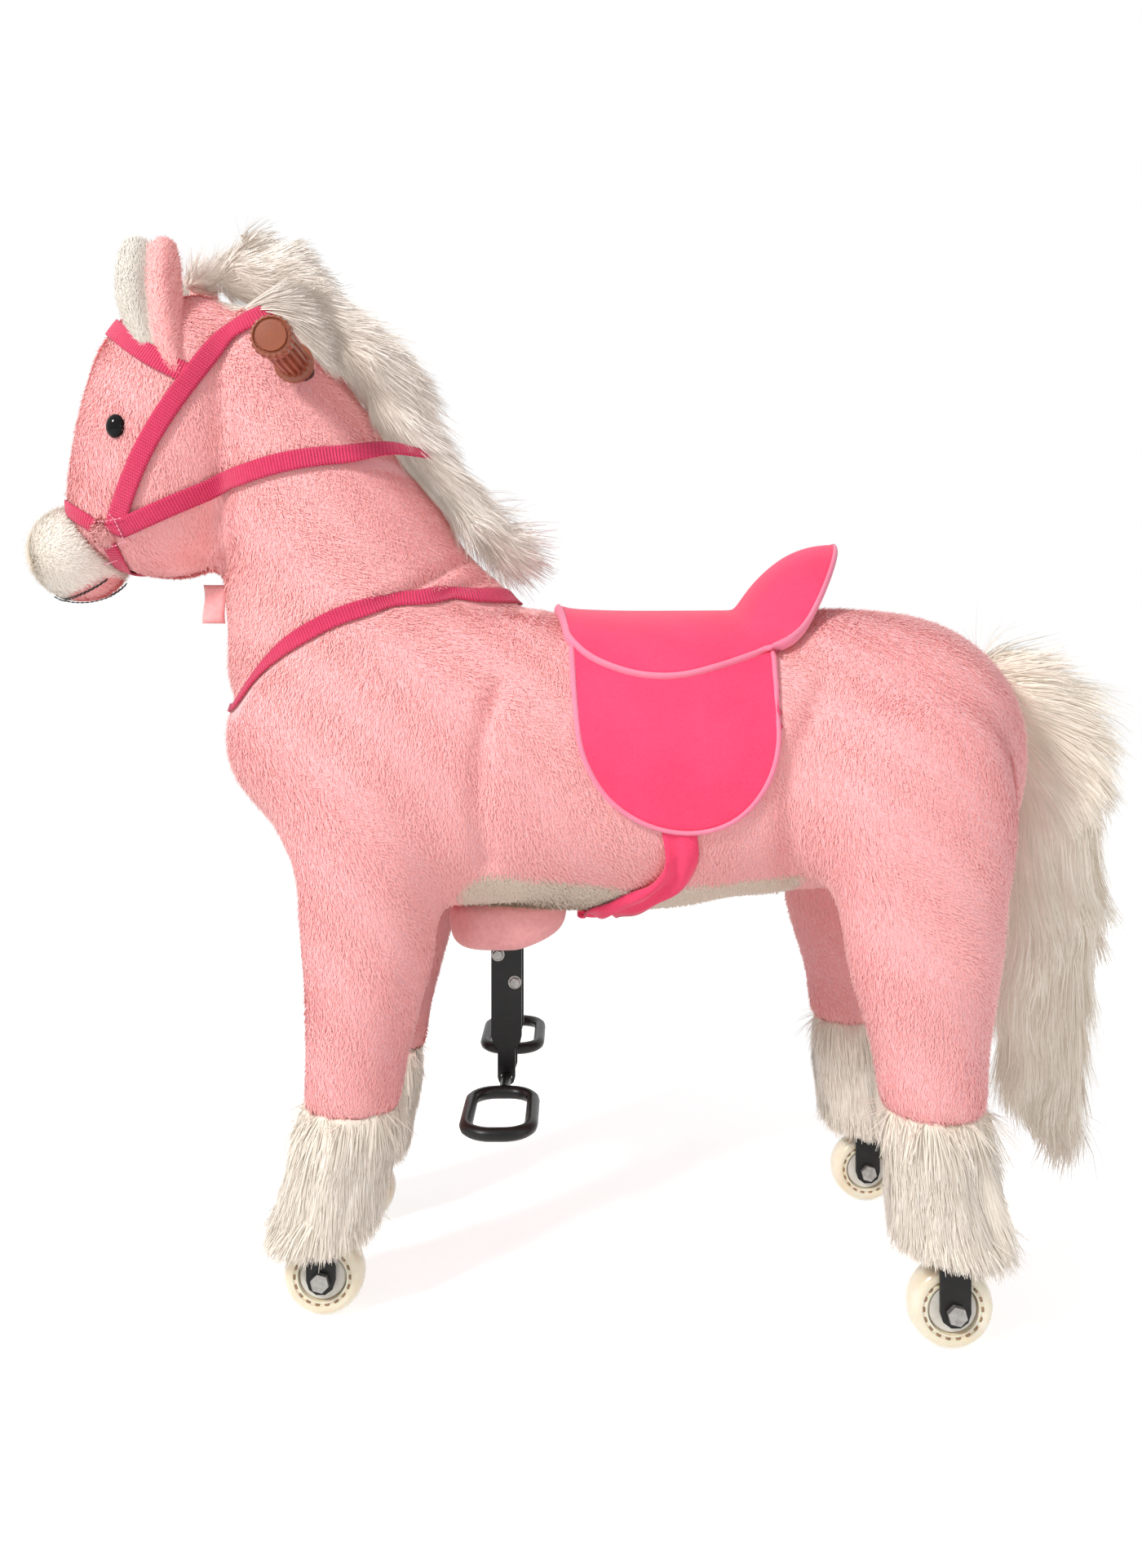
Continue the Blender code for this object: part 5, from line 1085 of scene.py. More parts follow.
# %% Locks
def with_locks(cloth, heading, depth, pitch, seed, count=14):
    """Furrows that run along a heading, so that the hair on them parts into locks."""
    chance = np.random.default_rng(seed)
    along = np.array(Vector(heading).normalized())
    waves = chance.normal(size=(count, 3))
    waves -= np.outer(waves @ along, along) * 0.86
    waves *= (math.tau / pitch * chance.uniform(0.6, 1.4, count) / np.linalg.norm(waves, axis=1))[:, None]
    points, turns = points_of(cloth.data), chance.uniform(0, math.tau, count)
    height = np.sin(points @ waves.T + turns).sum(1) / math.sqrt(count)
    set_points(cloth.data, points + normals_of(cloth.data) * (height * depth)[:, None])


# %% Mane
MANE_DROOP = (0.002, 0, -0.006)
mane = form_of("mane", "mane_pad", 0.005, 0.010)
MANE_GUIDES = [((-0.320, -0.01, 0.830), (0.55, -0.10, 0.80)), ((-0.270, -0.01, 0.860), (0.95, -0.15, 0.08)),
               ((-0.210, -0.03, 0.830), (0.85, -0.30, -0.35)), ((-0.150, -0.03, 0.760), (0.75, -0.30, -0.58)),
               ((-0.110, -0.03, 0.690), (0.76, -0.30, -0.60)), ((-0.070, -0.02, 0.630), (0.86, -0.25, -0.45))]
points, normals = points_of(mane.data), normals_of(mane.data)
sink = 0.004 * rise(points[:, 2], 0.79, 0.05) + 0.012 * rise(points[:, 2], 0.67, -0.04)
set_points(mane.data, points - normals * sink[:, None])
with_locks(mane, (0.75, 0, -0.6), 0.0030, 0.026, 3)
fur_fields(mane, MANE_GUIDES, long=1 - 0.52 * rise(points[:, 2], 0.81, 0.05))
dress(mane, cream_ground)
mane_fur = furred(mane, "mane_fur", 22000, 0.056, 0.0010, mane_hair, lift=0.16, spread=0.15,
                  wave=0.036, wave_scale=14.0, droop=MANE_DROOP, segments=4, seed=51, share=0.90)
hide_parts("mane")

# %% Mane over the sides of the neck
MANE_EDGE = ((0.598, -0.072), (0.632, -0.096), (0.6625, -0.120), (0.688, -0.142), (0.715, -0.164),
             (0.7485, -0.184), (0.790, -0.215), (0.806, -0.234), (0.8170, -0.290), (0.832, -0.310))


def mane_share(points):
    """1 where the mane grows on the neck, 0 on the plush before it."""
    return rise(points[:, 0], level_on(MANE_EDGE, points[:, 2]), 0.006) * (points[:, 2] > 0.622)


fur_fields(neck_coat, MANE_GUIDES, cover=mane_share(points_of(neck_coat.data)))
side_mane = furred(neck_coat, "mane_side_fur", 18000, 0.048, 0.0010, mane_hair, lift=0.13,
                   spread=0.14, wave=0.030, wave_scale=14.0, droop=MANE_DROOP, segments=4, seed=53,
                   share=0.90)
for piece in (mane, mane_fur, side_mane):
    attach(piece, "head_and_neck")

# %% Tail
tail = form_of("tail", "tail_pad", 0.005, 0.011)
TAIL_GUIDES = [((0.380, -0.01, 0.525), (0.95, 0, 0.10)), ((0.435, -0.02, 0.510), (0.55, 0, -0.80)),
               ((0.455, -0.02, 0.420), (0.10, 0, -1.0)), ((0.430, -0.03, 0.300), (-0.02, 0, -1.0)),
               ((0.420, -0.03, 0.150), (-0.02, 0, -1.0))]
points = points_of(tail.data)
inward = rise(points[:, 0], 0.425, -0.025) * rise(points[:, 2], 0.53, -0.04)
points[:, 0] += 0.010 * rise(points[:, 2], 0.36, -0.20) - 0.005 - 0.012 * inward
points[:, 0] -= 0.012 * rise(points[:, 2], 0.48, 0.05)
points[:, 2] -= 0.008 * rise(points[:, 2], 0.48, 0.03)
TIP_Z, TIP_SHARE = 0.20, 0.72
points[:, 2] = np.where(points[:, 2] < TIP_Z, TIP_Z - (TIP_Z - points[:, 2]) * TIP_SHARE, points[:, 2])
set_points(tail.data, points)
with_locks(tail, (0.05, 0, -1), 0.0034, 0.026, 4)
fur_fields(tail, TAIL_GUIDES)
dress(tail, cream_ground)
tail_fur = furred(tail, "tail_fur", 24500, 0.058, 0.0011, tail_hair, lift=0.11, spread=0.13,
                  wave=0.040, wave_scale=12.0, droop=(0, 0, -0.008), segments=4, seed=52, share=0.90)
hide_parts("tail")
for piece in (tail, tail_fur):
    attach(piece, "chassis")

# %% Cuffs over the castors
# For each pair of legs: combing guides, length of the fur, how far its hem is raised, lean of its locks.
CUFFS = {
    "front": ([((-0.20, -0.078, 0.150), (-0.12, 0, -1.0)), ((-0.225, -0.078, 0.100), (-0.40, 0, -1.0)),
               ((-0.22, -0.078, 0.070), (-0.35, 0, -1.0)), ((-0.14, -0.078, 0.10), (0.10, 0, -1.0))],
              0.034, 0.019, -0.2),
    "rear": ([((0.28, -0.125, 0.170), (0.05, 0, -1.0)), ((0.325, -0.125, 0.130), (0.55, 0, -1.0)),
              ((0.30, -0.125, 0.080), (0.30, 0, -1.0)), ((0.24, -0.125, 0.10), (-0.05, 0, -1.0))],
             0.032, 0.030, 0.25),
}
for pair, (guides, length, raised, lean) in CUFFS.items():
    for side in ("left", "right"):
        node = f"{pair}_fetlock_{side}"
        cuff = form_of(node, f"{pair}_cuff_{side}", 0.004, 0.005, rounds=8)
        low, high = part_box(node)
        points = points_of(cuff.data)
        height = (points[:, 2] - low.z) / (high.z - low.z)
        out = (points[:, 0] - low.x) / (high.x - low.x)
        out = np.clip(1 - out if pair == "front" else out, 0, 1)
        points[:, 2] += raised * np.clip(1 - height, 0, 1) + 0.006 * rise(height, 0.7, 0.3)
        middle = (low + high) / 2
        waist = 1 + 0.04 * rise(height, 0.6, 0.3)
        points[:, :2] = (points[:, :2] - (middle.x, middle.y)) * waist[:, None] + (middle.x, middle.y)
        set_points(cuff.data, points)
        with_locks(cuff, (lean, 0, -1), 0.0016, 0.018, 5)
        facing = normals_of(cuff.data)[:, 2]
        cover = np.where((facing > 0.5) | (facing < -0.6), 0.15, 1)
        long = np.clip((height + 0.06) / 0.30, 0.30, 1) * (0.85 + 0.55 * out ** 2)
        fur_fields(cuff, guides, cover=cover, long=long)
        dress(cuff, cream_ground)
        cuff_fur = furred(cuff, f"{pair}_cuff_fur_{side}", 15000, length, 0.0010, cuff_hair,
                          lift=0.10, spread=0.10, wave=0.016, wave_scale=22.0, droop=(0, 0, -0.004),
                          segments=3, seed=60 + len(f"{pair}{side}"), share=0.94)
        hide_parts(node)
        for piece in (cuff, cuff_fur):
            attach(piece, f"{pair}_legs")

# %% [markdown]
# ## Saddle
#
# The saddle has two parts: a skirt of felted cloth that hangs over the back to both sides with a round lower
# edge, and a thin padded seat on it whose rear end stands up as a cantle. Both are grids laid over the skin,
# so that they follow the back, and both are edged with a pale binding. The seat is then blown up a little by
# a cloth simulation with its edges and underside held, which gives it the slack of a sewn pad.


# %% Grids over the back
BACK_MIDDLE = 0.440
SKIRT_LINE = ((0.002, 0.476), (0.006, 0.455), (0.012, 0.439), (0.028, 0.414), (0.056, 0.396), (0.081, 0.390),
              (0.105, 0.391), (0.130, 0.402), (0.149, 0.427), (0.157, 0.455), (0.159, 0.483))
SEAT_LINE = ((-0.008, 0.545), (0.002, 0.530), (0.019, 0.517), (0.050, 0.507), (0.082, 0.506), (0.113, 0.513),
             (0.151, 0.5245), (0.170, 0.526))


def on_back(x, turn):
    """The skin at x, looked at from the middle of the trunk at a turn from straight up."""
    heading = Vector((0, math.sin(turn), math.cos(turn)))
    hit = skin_tree.ray_cast(Vector((x, 0, BACK_MIDDLE)) + heading * 0.3, -heading, 0.3)
    return np.array(hit[0])


def turn_at(x, z):
    """The turn at which the skin at x lies at height z."""
    low, high = 0.0, 2.6
    for _ in range(18):
        middle = (low + high) / 2
        if on_back(x, middle)[2] > z:
            low = middle
        else:
            high = middle
    return low


def grid_normals(grid):
    """The outward direction at each place of a grid: up, and away from the middle on the flanks."""
    normal = unit(np.cross(np.gradient(grid, axis=0), np.gradient(grid, axis=1)))
    sideways = np.abs(normal[:, :, 1]) * np.sign(grid[:, :, 1]) * np.sign(normal[:, :, 1])
    return normal * np.where(normal[:, :, 2] + sideways < 0, -1, 1)[:, :, None]


def even_grid(grid, rounds):
    for _ in range(rounds):
        for axis in (0, 1):
            moved = np.moveaxis(grid, axis, 0).copy()
            moved[1:-1] = (moved[:-2] + 2 * moved[1:-1] + moved[2:]) / 4
            grid = np.moveaxis(moved, 0, axis)
    return grid


def sheet_grid(name, top, thickness):
    """A closed sheet whose upper side is the grid, and the directions it faces."""
    normals = grid_normals(top)
    rows, cols = top.shape[:2]
    made = strip_mesh(name, top - normals * thickness, top, np.linspace(0, 0.3, rows),
                      np.linspace(-0.5, 0.5, cols) * 0.3, False)
    return made, normals


def tape(name, line, outward, half_width, half_thick, closed=False, count=10):
    """A flat rounded band swept along a line; its flat side faces outward."""
    tangent = tangents_of(line, closed)
    side = unit(np.cross(tangent, outward))
    verts = []
    for place, s, n in zip(line, side, np.cross(side, tangent)):
        for k in range(count):
            turn = math.tau * k / count
            verts.append(place + s * (half_width * math.cos(turn)) + n * (half_thick * math.sin(turn)))
    faces = ring_faces(len(line), count, closed)
    if not closed:
        faces += [tuple(range(count)), tuple(len(verts) - count + k for k in range(count))]
    return add_object(name, verts, faces)


# %% Saddle finishes
def felt_finish(name, deep, bright, scale=420.0, distance=0.0005):
    made = Finish(name, roughness=0.85, sheen_weight=0.35, sheen_roughness=0.4)
    fuzz = made.noise(scale, 4.0, 0.65)
    tone = fuzz * 0.45 + made.noise(14.0, 3.0, 0.6) * 0.55
    made.set("Base Color", made.mix(made.ramp(tone, (0.32, 0.0), (0.66, 1.0)), deep, bright))
    made.bump(fuzz, distance, 0.7)
    return made


saddle_felt = felt_finish("hot pink felt", (0.90, 0.040, 0.128), (1.0, 0.066, 0.185))
binding_cloth = felt_finish("pale pink binding", (0.84, 0.20, 0.33), (0.95, 0.29, 0.42), 700.0, 0.0003)

# %% Skirt
SKIRT_START, SKIRT_TOP, SKIRT_FLARE = -0.003, 0.160, 1.3
SKIRT_RAISED, SKIRT_THICK = 0.0052, 0.0030
skirt_edge = even_line([(x, 0, z) for x, z in curve_between(SKIRT_LINE, 8)], 0.006)[0]
reach = np.linspace(0, 1, len(skirt_edge))
skirt_rows = np.linspace(-1, 1, 85)
skirt = np.zeros((len(skirt_edge), len(skirt_rows), 3))
edge_turns = [turn_at(x, z) for x, _, z in skirt_edge]
for i, (edge_x, turn, share) in enumerate(zip(skirt_edge[:, 0], edge_turns, reach)):
    # Each row runs from a place on top of the back down to its place on the edge, on both sides.
    top_x = SKIRT_START + SKIRT_TOP * share
    for j, across in enumerate(skirt_rows):
        blend = abs(across) ** SKIRT_FLARE
        skirt[i, j] = on_back(top_x + (edge_x - top_x) * blend, turn * across)
skirt = even_grid(skirt, 4)
skirt += grid_normals(skirt) * SKIRT_RAISED
skirt_cloth, skirt_normals = sheet_grid("saddle_skirt_cloth", skirt, SKIRT_THICK)
dress(skirt_cloth, saddle_felt)


def sheet_size(grid):
    """The longest ways across and along a grid, and its area."""
    across = np.linalg.norm(np.diff(grid, axis=0), axis=2).sum(0).max()
    along = np.linalg.norm(np.diff(grid, axis=1), axis=2).sum(1).max()
    a, b = grid[1:, :-1] - grid[:-1, :-1], grid[:-1, 1:] - grid[:-1, :-1]
    area = np.linalg.norm(np.cross(a, b), axis=2).sum()
    return (float(across), float(along)), float(area)


flat, area = sheet_size(skirt)
bindings = []
CORNER = 16
for side, far in (("left", False), ("right", True)):
    grid, norm = (skirt[:, ::-1], skirt_normals[:, ::-1]) if far else (skirt, skirt_normals)
    line, facing = (np.concatenate([rows[0, CORNER:0:-1], rows[:, 0], rows[-1, 1:CORNER]])
                    for rows in (grid, norm))
    line = averaged(line - facing * 0.0012, False)
    band = tape(f"skirt_binding_{side}", line, averaged(facing, False), 0.0022, 0.0026)
    dress(band, binding_cloth)
    bindings.append(band)
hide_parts("saddle_skirt")
for piece in (skirt_cloth, *bindings):
    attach(piece, "chassis")

# %% Seat with its cantle
SEAT_ROWS, SEAT_COLS = 61, 57
seat_edge = np.array(curve_between(SEAT_LINE, 8))
edge_turn = [turn_at(x, z) for x, z in seat_edge]
seat = np.zeros((SEAT_ROWS, SEAT_COLS, 3))
for j, v in enumerate(np.linspace(-1, 1, SEAT_COLS)):
    # The front edge bows forward in the middle, and the cantle stands up behind rise_x.
    bow = 1 - v * v
    front_x, rear_x = -0.011 + 0.009 * v * v, 0.158 + 0.0693 * bow
    rise_x = 0.1435 + 0.0145 * v * v
    rear_z, rear_y = 0.526 + 0.0983 * bow ** 1.5, 0.118 * v
    for i, u in enumerate(np.linspace(0, 1, SEAT_ROWS)):
        x = front_x + (rear_x - front_x) * u
        turn = v * np.interp(x, seat_edge[:, 0], edge_turn)
        place = on_back(x, turn)
        out = np.array((0, math.sin(turn), math.cos(turn)))
        place = place + out * (0.0090 - 0.0010 * abs(v) ** 3)
        if rear_x - rise_x > 1e-4 and x > rise_x:
            t = (x - rise_x) / (rear_x - rise_x)
            lift = math.sin(math.pi / 2 * t ** 0.75)
            place[2] += max(rear_z - place[2], 0) * lift
            place[1] += (rear_y - place[1]) * lift
        seat[i, j] = place
seat = even_grid(seat, 3)
seat_pad, seat_normals = sheet_grid("saddle_seat_pad", seat, 0.0085)


def blown_up(pad, held, steps, most):
    """Lets a sewn pad swell under a little air, with some of its places held."""
    group = pad.vertex_groups.new(name="held")
    group.add([int(i) for i in np.flatnonzero(held)], 1.0, "REPLACE")
    before = points_of(pad.data)
    cloth = pad.modifiers.new("cloth", "CLOTH")
    for setting, value in (("quality", 5), ("mass", 0.2), ("tension_stiffness", 30),
                           ("compression_stiffness", 30), ("bending_stiffness", 0.4), ("use_pressure", True),
                           ("uniform_pressure_force", 4), ("vertex_group_mass", "held")):
        setattr(cloth.settings, setting, value)
    cloth.settings.effector_weights.gravity = 0
    cloth.point_cache.frame_end = steps
    for step in range(1, steps + 1):
        bpy.context.scene.frame_set(step)
    after = points_of(pad.evaluated_get(bpy.context.evaluated_depsgraph_get()).data)
    pad.modifiers.clear()
    pad.vertex_groups.clear()
    bpy.context.scene.frame_set(1)
    move = after - before
    size = np.linalg.norm(move, axis=1)
    set_points(pad.data, before + move * np.minimum(1, most / np.maximum(size, 1e-9))[:, None])


grid_i, grid_j = np.divmod(np.arange(SEAT_ROWS * SEAT_COLS), SEAT_COLS)
rim = (grid_i < 2) | (grid_i > SEAT_ROWS - 3) | (grid_j < 2) | (grid_j > SEAT_COLS - 3)
blown_up(seat_pad, np.concatenate([np.ones_like(rim), rim]), steps=16, most=0.004)
dress(seat_pad, saddle_felt)
line, facing = (np.concatenate([rows[:, 0], rows[-1, 1:-1], rows[::-1, -1], rows[0, -2:0:-1]])
                for rows in (seat, seat_normals))
facing = averaged(facing, True, 2)
seat_binding = tape("seat_binding", averaged(line - facing * 0.0038, True, 1), facing, 0.0026, 0.0048,
                    closed=True)
dress(seat_binding, binding_cloth)
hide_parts("saddle_seat")
for piece in (seat_pad, seat_binding):
    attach(piece, "chassis")

# %% [markdown]
# ## Girth, belly and sleeve
#
# The girth is a soft band of the saddle's cloth that comes out under the skirt, folds over on itself and
# runs forward under the belly. Behind the front legs hangs a smooth pale sleeve that hides the lever's slot.

# %% Girth
def girth_fold(along, share):
    """The folds of the band, and how far it sinks where it comes out under the skirt."""
    folds = (0.0012 * math.sin(along * 150 + share * 5)
             + 0.0026 * math.cos(share * math.tau * 1.5 + along * 40))
    hidden = math.exp(-(min(along, GIRTH_LENGTH - along) / 0.022) ** 2)
    return folds * (1 - hidden) - 0.0040 * hidden


girth_line = both_sides(((829, 1000), (834, 1028), (836, 1052), (822, 1078), (790, 1095), (760, 1107),
                         (728, 1116), (699, 1124)))
GIRTH_LENGTH = even_line(girth_line, RIBBON_STEP)[1]
girth = ribbon("girth_band", girth_line, GIRTH, lift=0.0040, thickness=0.0024, fold=girth_fold)
dress(girth, saddle_felt)
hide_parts("girth_strap")
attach(girth, "chassis")

# %% Lever sleeve
low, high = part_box("lever_sleeve")
middle, half = (low + high) / 2, (high - low) / 2
SLEEVE_COUNT = 64
rings = []
for share, inset in ((1.0, 0.006), (0.85, 0.000), (0.55, -0.001), (0.25, 0.0015), (0.08, 0.006),
                     (0.0, 0.0125)):
    z = low.z + 0.001 + (high.z - low.z) * share
    rings.append(oval((middle.x, 0, z), half.x - 0.001 - inset, half.y - 0.001 - inset, power=3.2,
                      count=SLEEVE_COUNT))
outer = curve_between([[tuple(p) for p in ring] for ring in rings], 4)
middle = np.array((middle.x, 0, 0))


def level_outward(rows):
    """Level directions away from the sleeve's middle line."""
    return unit((rows - middle) * (1, 1, 0))


turns = np.linspace(0, math.tau, SLEEVE_COUNT, endpoint=False)
for i, ring in enumerate(outer):
    fall = math.sin(math.pi * i / (len(outer) - 1))
    swell = (np.sin(turns * 3 + 0.5) * 0.0010 + np.sin(turns * 7 + i * 0.25) * 0.0006) * fall
    ring += level_outward(ring) * swell[:, None]
# The hem rises towards the rear.
slope = np.clip((outer[:, :, 0] - middle[0] - 0.004) / 0.044, 0, 1) ** 1.6
hang = 1 - np.linspace(1, 0, len(outer))[:, None] ** 0.8
outer[:, :, 2] += 0.017 * slope * hang
inner = outer - level_outward(outer) * 0.0022
sleeve = strip_mesh("lever_sleeve_cloth", np.moveaxis(inner, 0, 1), np.moveaxis(outer, 0, 1),
                    np.linspace(0, 0.3, SLEEVE_COUNT), np.linspace(0, 0.05, len(outer)), True)
pale_cloth = cloth_under("pale pink cloth", (0.98, 0.46, 0.46), (0.88, 0.37, 0.38), 260.0, 0.0003, 0.8)
dress(sleeve, pale_cloth)
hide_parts("lever_sleeve")
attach(sleeve, "chassis")

# %% [markdown]
# ## The pile of the coats
#
# The pile comes after the straps and the saddle, because it is pressed away where they lie. Between the
# legs the belly is a panel of cream plush, which is sewn in with a curved edge.


# %% Where the pile stands
BELLY_EDGE = ((-0.092, 0.325), (-0.084, 0.343), (-0.066, 0.351), (-0.005, 0.346), (0.048, 0.3375),
              (0.072, 0.339), (0.120, 0.343), (0.166, 0.348), (0.200, 0.352))
STRAP_LINES = ((brow_line, STRAP), (crown_line, STRAP), (nose_line, STRAP * 0.9), (rein_line, STRAP),
               (strap_line, CHEST_STRAP), (girth_line, GIRTH))


def inside_edge(points, edge, front, rear):
    """How far places lie above an edge in the side view, and between its front and rear ends."""
    above = points[:, 2] - level_on(edge, points[:, 0])
    return np.minimum(above, np.minimum(points[:, 0] - front, rear - points[:, 0]))


def free_of_straps(points):
    """1 where the pile stands, 0 where a strap or the saddle presses it away."""
    free = np.ones(len(points))
    for line, width in STRAP_LINES:
        near = even_line(line, 0.003)[0]
        for start in range(0, len(points), 4000):
            part = points[start:start + 4000]
            gap = np.sqrt(((part[:, None, :] - near[None]) ** 2).sum(2).min(1))
            free[start:start + 4000] *= rise(gap, width * 0.40, 0.003)
    skirt_in = np.where(points[:, 2] > 0.36, inside_edge(points, SKIRT_LINE, -0.002, 0.158), -1)
    seat_in = inside_edge(points, SEAT_LINE, -0.008, 0.165)
    return free * (1 - rise(skirt_in, -0.0025, 0.003)) * (1 - rise(seat_in, 0, 0.004))


def belly_share(points):
    """1 on the cream panel between the legs."""
    level = level_on(BELLY_EDGE, points[:, 0])
    span = np.clip(np.minimum(points[:, 0] + 0.092, 0.186 - points[:, 0]) / 0.004, 0, 1)
    return np.clip((level - points[:, 2]) / 0.004 + 0.5, 0, 1) * span * (points[:, 2] > 0.296)


SWIRLS = (((31, 17, 23), 0.4), ((19, 29, 13), 2.1), ((23, 11, 37), 4.0))


def coat_fields(coat, heading):
    """Combing, density and length for a short-pile cloth."""
    mesh = coat.data
    points = points_of(mesh)
    swirl = np.stack([np.sin(points @ np.array(wave) + turn) for wave, turn in SWIRLS], axis=1)
    directions = np.broadcast_to(np.array(heading, float), points.shape) + swirl * 0.45
    set_field(mesh, "comb", laid_flat(directions, normals_of(mesh)), "FLOAT_VECTOR")
    set_field(mesh, "long", 0.8 + 0.2 * np.sin(points @ np.array((90, 70, 80)) + 1.0))
    if coat is neck_coat:
        mane_grown = mane_share(points)
        set_field(mesh, "belly", mane_grown)
        return free_of_straps(points) * (1 - mane_grown), np.zeros(len(points))
    belly = belly_share(points)
    set_field(mesh, "belly", belly)
    return free_of_straps(points), belly


# %% Pile on the three coats
# Coat, name, heading of its pile, body, start and end of its bend, and the nodes it stands for.
COATS = ((neck_coat, "neck", (0.5, 0, -0.85), "head_and_neck", STEER, BEND_END,
          ("neck_plush", "head_plush")),
         (front_coat, "front", (0.35, 0, -0.9), "front_legs", (0, 0, 0.318), (0, 0, 0.250),
          ("trunk_plush", "front_leg_plush_left", "front_leg_plush_right")),
         (rear_coat, "rear", (0.35, 0, -0.9), "rear_legs", (0, 0, 0.332), (0, 0, 0.262),
          ("rear_leg_plush_left", "rear_leg_plush_right")))
for turn, (coat, name, heading, body, start, end, nodes) in enumerate(COATS):
    free, belly = coat_fields(coat, heading)
    dress(coat, coat_ground)
    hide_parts(*nodes)
    set_field(coat.data, "cover", free * (1 - belly))
    piles = [furred(coat, f"{name}_pile", 91000, 0.0060, 0.00105, pink_pile, lift=0.25,
                    spread=0.42, seed=11 + turn)]
    if belly.max() > 0:
        set_field(coat.data, "cover", free * belly)
        piles.append(furred(coat, f"{name}_belly_pile", 26000, 0.0052, 0.0010, belly_pile,
                            lift=0.24, spread=0.55, seed=21 + turn))
    for field in ("cover", "long", "comb"):
        coat.data.attributes.remove(coat.data.attributes[field])
    for piece in (coat, *piles):
        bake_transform(piece)

# %% [markdown]
# ## Grips, foot loops and castors
#
# What is turned or moulded is spun from a profile: the grips with their flutes, the tyres, the hubs and the
# bolt heads. The profile is a list of places, each a radius and a distance along the axis.


# %% Turned parts
def turned(name, profile, centre, axis, count=48, flutes=None):
    """A closed solid of revolution. flutes(turn, along) scales the radius."""
    centre, axis = Vector(centre), Vector(axis).normalized()
    first = axis.orthogonal().normalized()
    second = axis.cross(first)
    verts = []
    for radius, along in profile:
        for k in range(count):
            turn = math.tau * k / count
            r = radius * (flutes(turn, along) if flutes else 1)
            verts.append(centre + axis * along + first * (r * math.cos(turn)) + second * (r * math.sin(turn)))
    faces = ring_faces(len(profile), count)
    ring = profile[0] == profile[-1]
    if not ring:
        faces += [tuple(range(count)), tuple(len(verts) - count + k for k in range(count))]
    made = add_object(name, verts, faces)
    if ring:
        reworked(made.data, merge_doubles, face_outward)
    made.data.set_sharp_from_angle(angle=math.radians(40))
    return made


# %% Hard finishes
def plain_finish(name, colour, other, roughness, scale=60.0, **fixed):
    made = Finish(name, coat_roughness=0.15, **fixed)
    cloudy = made.noise(scale, 4.0, 0.6)
    made.set("Base Color", made.mix(made.ramp(cloudy, (0.35, 0.0), (0.7, 1.0)), colour, other))
    made.set("Roughness", made.noise(scale * 2, 3.0) * 0.16 + (roughness - 0.08))
    made.bump(made.noise(900.0), 0.0002, 0.5)
    return made


grip_plastic = plain_finish("brown grip plastic", (0.31, 0.082, 0.034), (0.23, 0.052, 0.020), 0.32, 50.0,
                            coat_weight=0.15)
black_paint = plain_finish("black painted steel", (0.003, 0.003, 0.003), (0.008, 0.007, 0.007), 0.34, 80.0,
                           specular_ior_level=0.30)
zinc_finish = plain_finish("zinc plated steel", (0.42, 0.41, 0.39), (0.26, 0.25, 0.24), 0.42, 220.0,
                           metallic=0.7)
hub_white = plain_finish("white hub plastic", (0.80, 0.78, 0.72), (0.70, 0.66, 0.58), 0.45, 90.0)
mark_brown = plain_finish("brown wheel marks", (0.36, 0.22, 0.12), (0.26, 0.15, 0.08), 0.5, 200.0)
plywood = plain_finish("plywood", (0.50, 0.33, 0.18), (0.40, 0.25, 0.13), 0.6, 30.0)
amber = Finish("clear amber tyre", roughness=0.18, coat_weight=0.6, subsurface_weight=0.35,
               subsurface_scale=0.006)
swirl = amber.ramp(amber.noise(55.0, 4.0, 0.6), (0.3, 0.0), (0.75, 1.0))
amber.set("Base Color", amber.mix(swirl, (0.92, 0.85, 0.70), (0.82, 0.70, 0.50)))
amber.bump(amber.noise(500.0), 0.0002, 0.4)

# %% Grips
CAP, GRIP_STEPS = 0.011, 22


def grip_profile(radius, length):
    """A collar, a hand part that swells in its middle, and an end cap, from the root outward."""
    hand = radius * 0.80
    swell = [(hand * (0.93 + 0.07 * math.sin(math.pi * k / GRIP_STEPS)),
              0.008 + (length - CAP - 0.010) * k / GRIP_STEPS) for k in range(1, GRIP_STEPS)]
    end = ((hand * 0.92, CAP), (radius * 0.90, CAP - 0.0008), (radius * 0.98, CAP - 0.0030),
           (radius * 0.98, 0.0030), (radius * 0.93, 0.0012), (radius * 0.84, 0.0004), (radius * 0.80, 0.0018),
           (radius * 0.74, 0.0018), (radius * 0.71, 0.0004), (radius * 0.40, 0.0002), (radius * 0.10, 0.0))
    return [(radius * 0.90, 0.0), (radius * 0.99, 0.0008), (radius, 0.0030), (radius * 0.97, 0.0042),
            (hand * 0.98, 0.0056), (hand * 0.93, 0.0080), *swell, *((r, length - back) for r, back in end)]


for side, sign in SIDES:
    low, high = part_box(f"handle_grip_{side}")
    end_y, root_y = (low.y, high.y) if sign < 0 else (high.y, low.y)
    length, radius = abs(end_y - root_y), (high.z - low.z) / 2

    def flutes(turn, along, length=length):
        if along > length - CAP - 0.0005:
            return 1 + (0.040 * math.cos(turn * 20) if along < length - 0.0008 else 0)
        groove = min(max((along - 0.006) / 0.003, 0), 1)
        return 1 - 0.13 * groove * max(math.cos(turn * 16), -0.25)
    root = ((low.x + high.x) / 2, root_y, (low.z + high.z) / 2)
    grip = turned(f"grip_{side}", grip_profile(radius, length), root, SIDE * sign, 160, flutes)
    dress(grip, grip_plastic)
    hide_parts(f"handle_grip_{side}")
    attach(grip, "head_and_neck")

# %% [markdown]
# Rows of small equal things, here stitches and wheel marks, come from one geometry tree: it turns a line
# into points a fixed step apart, puts a low bead on each and turns it along the line.


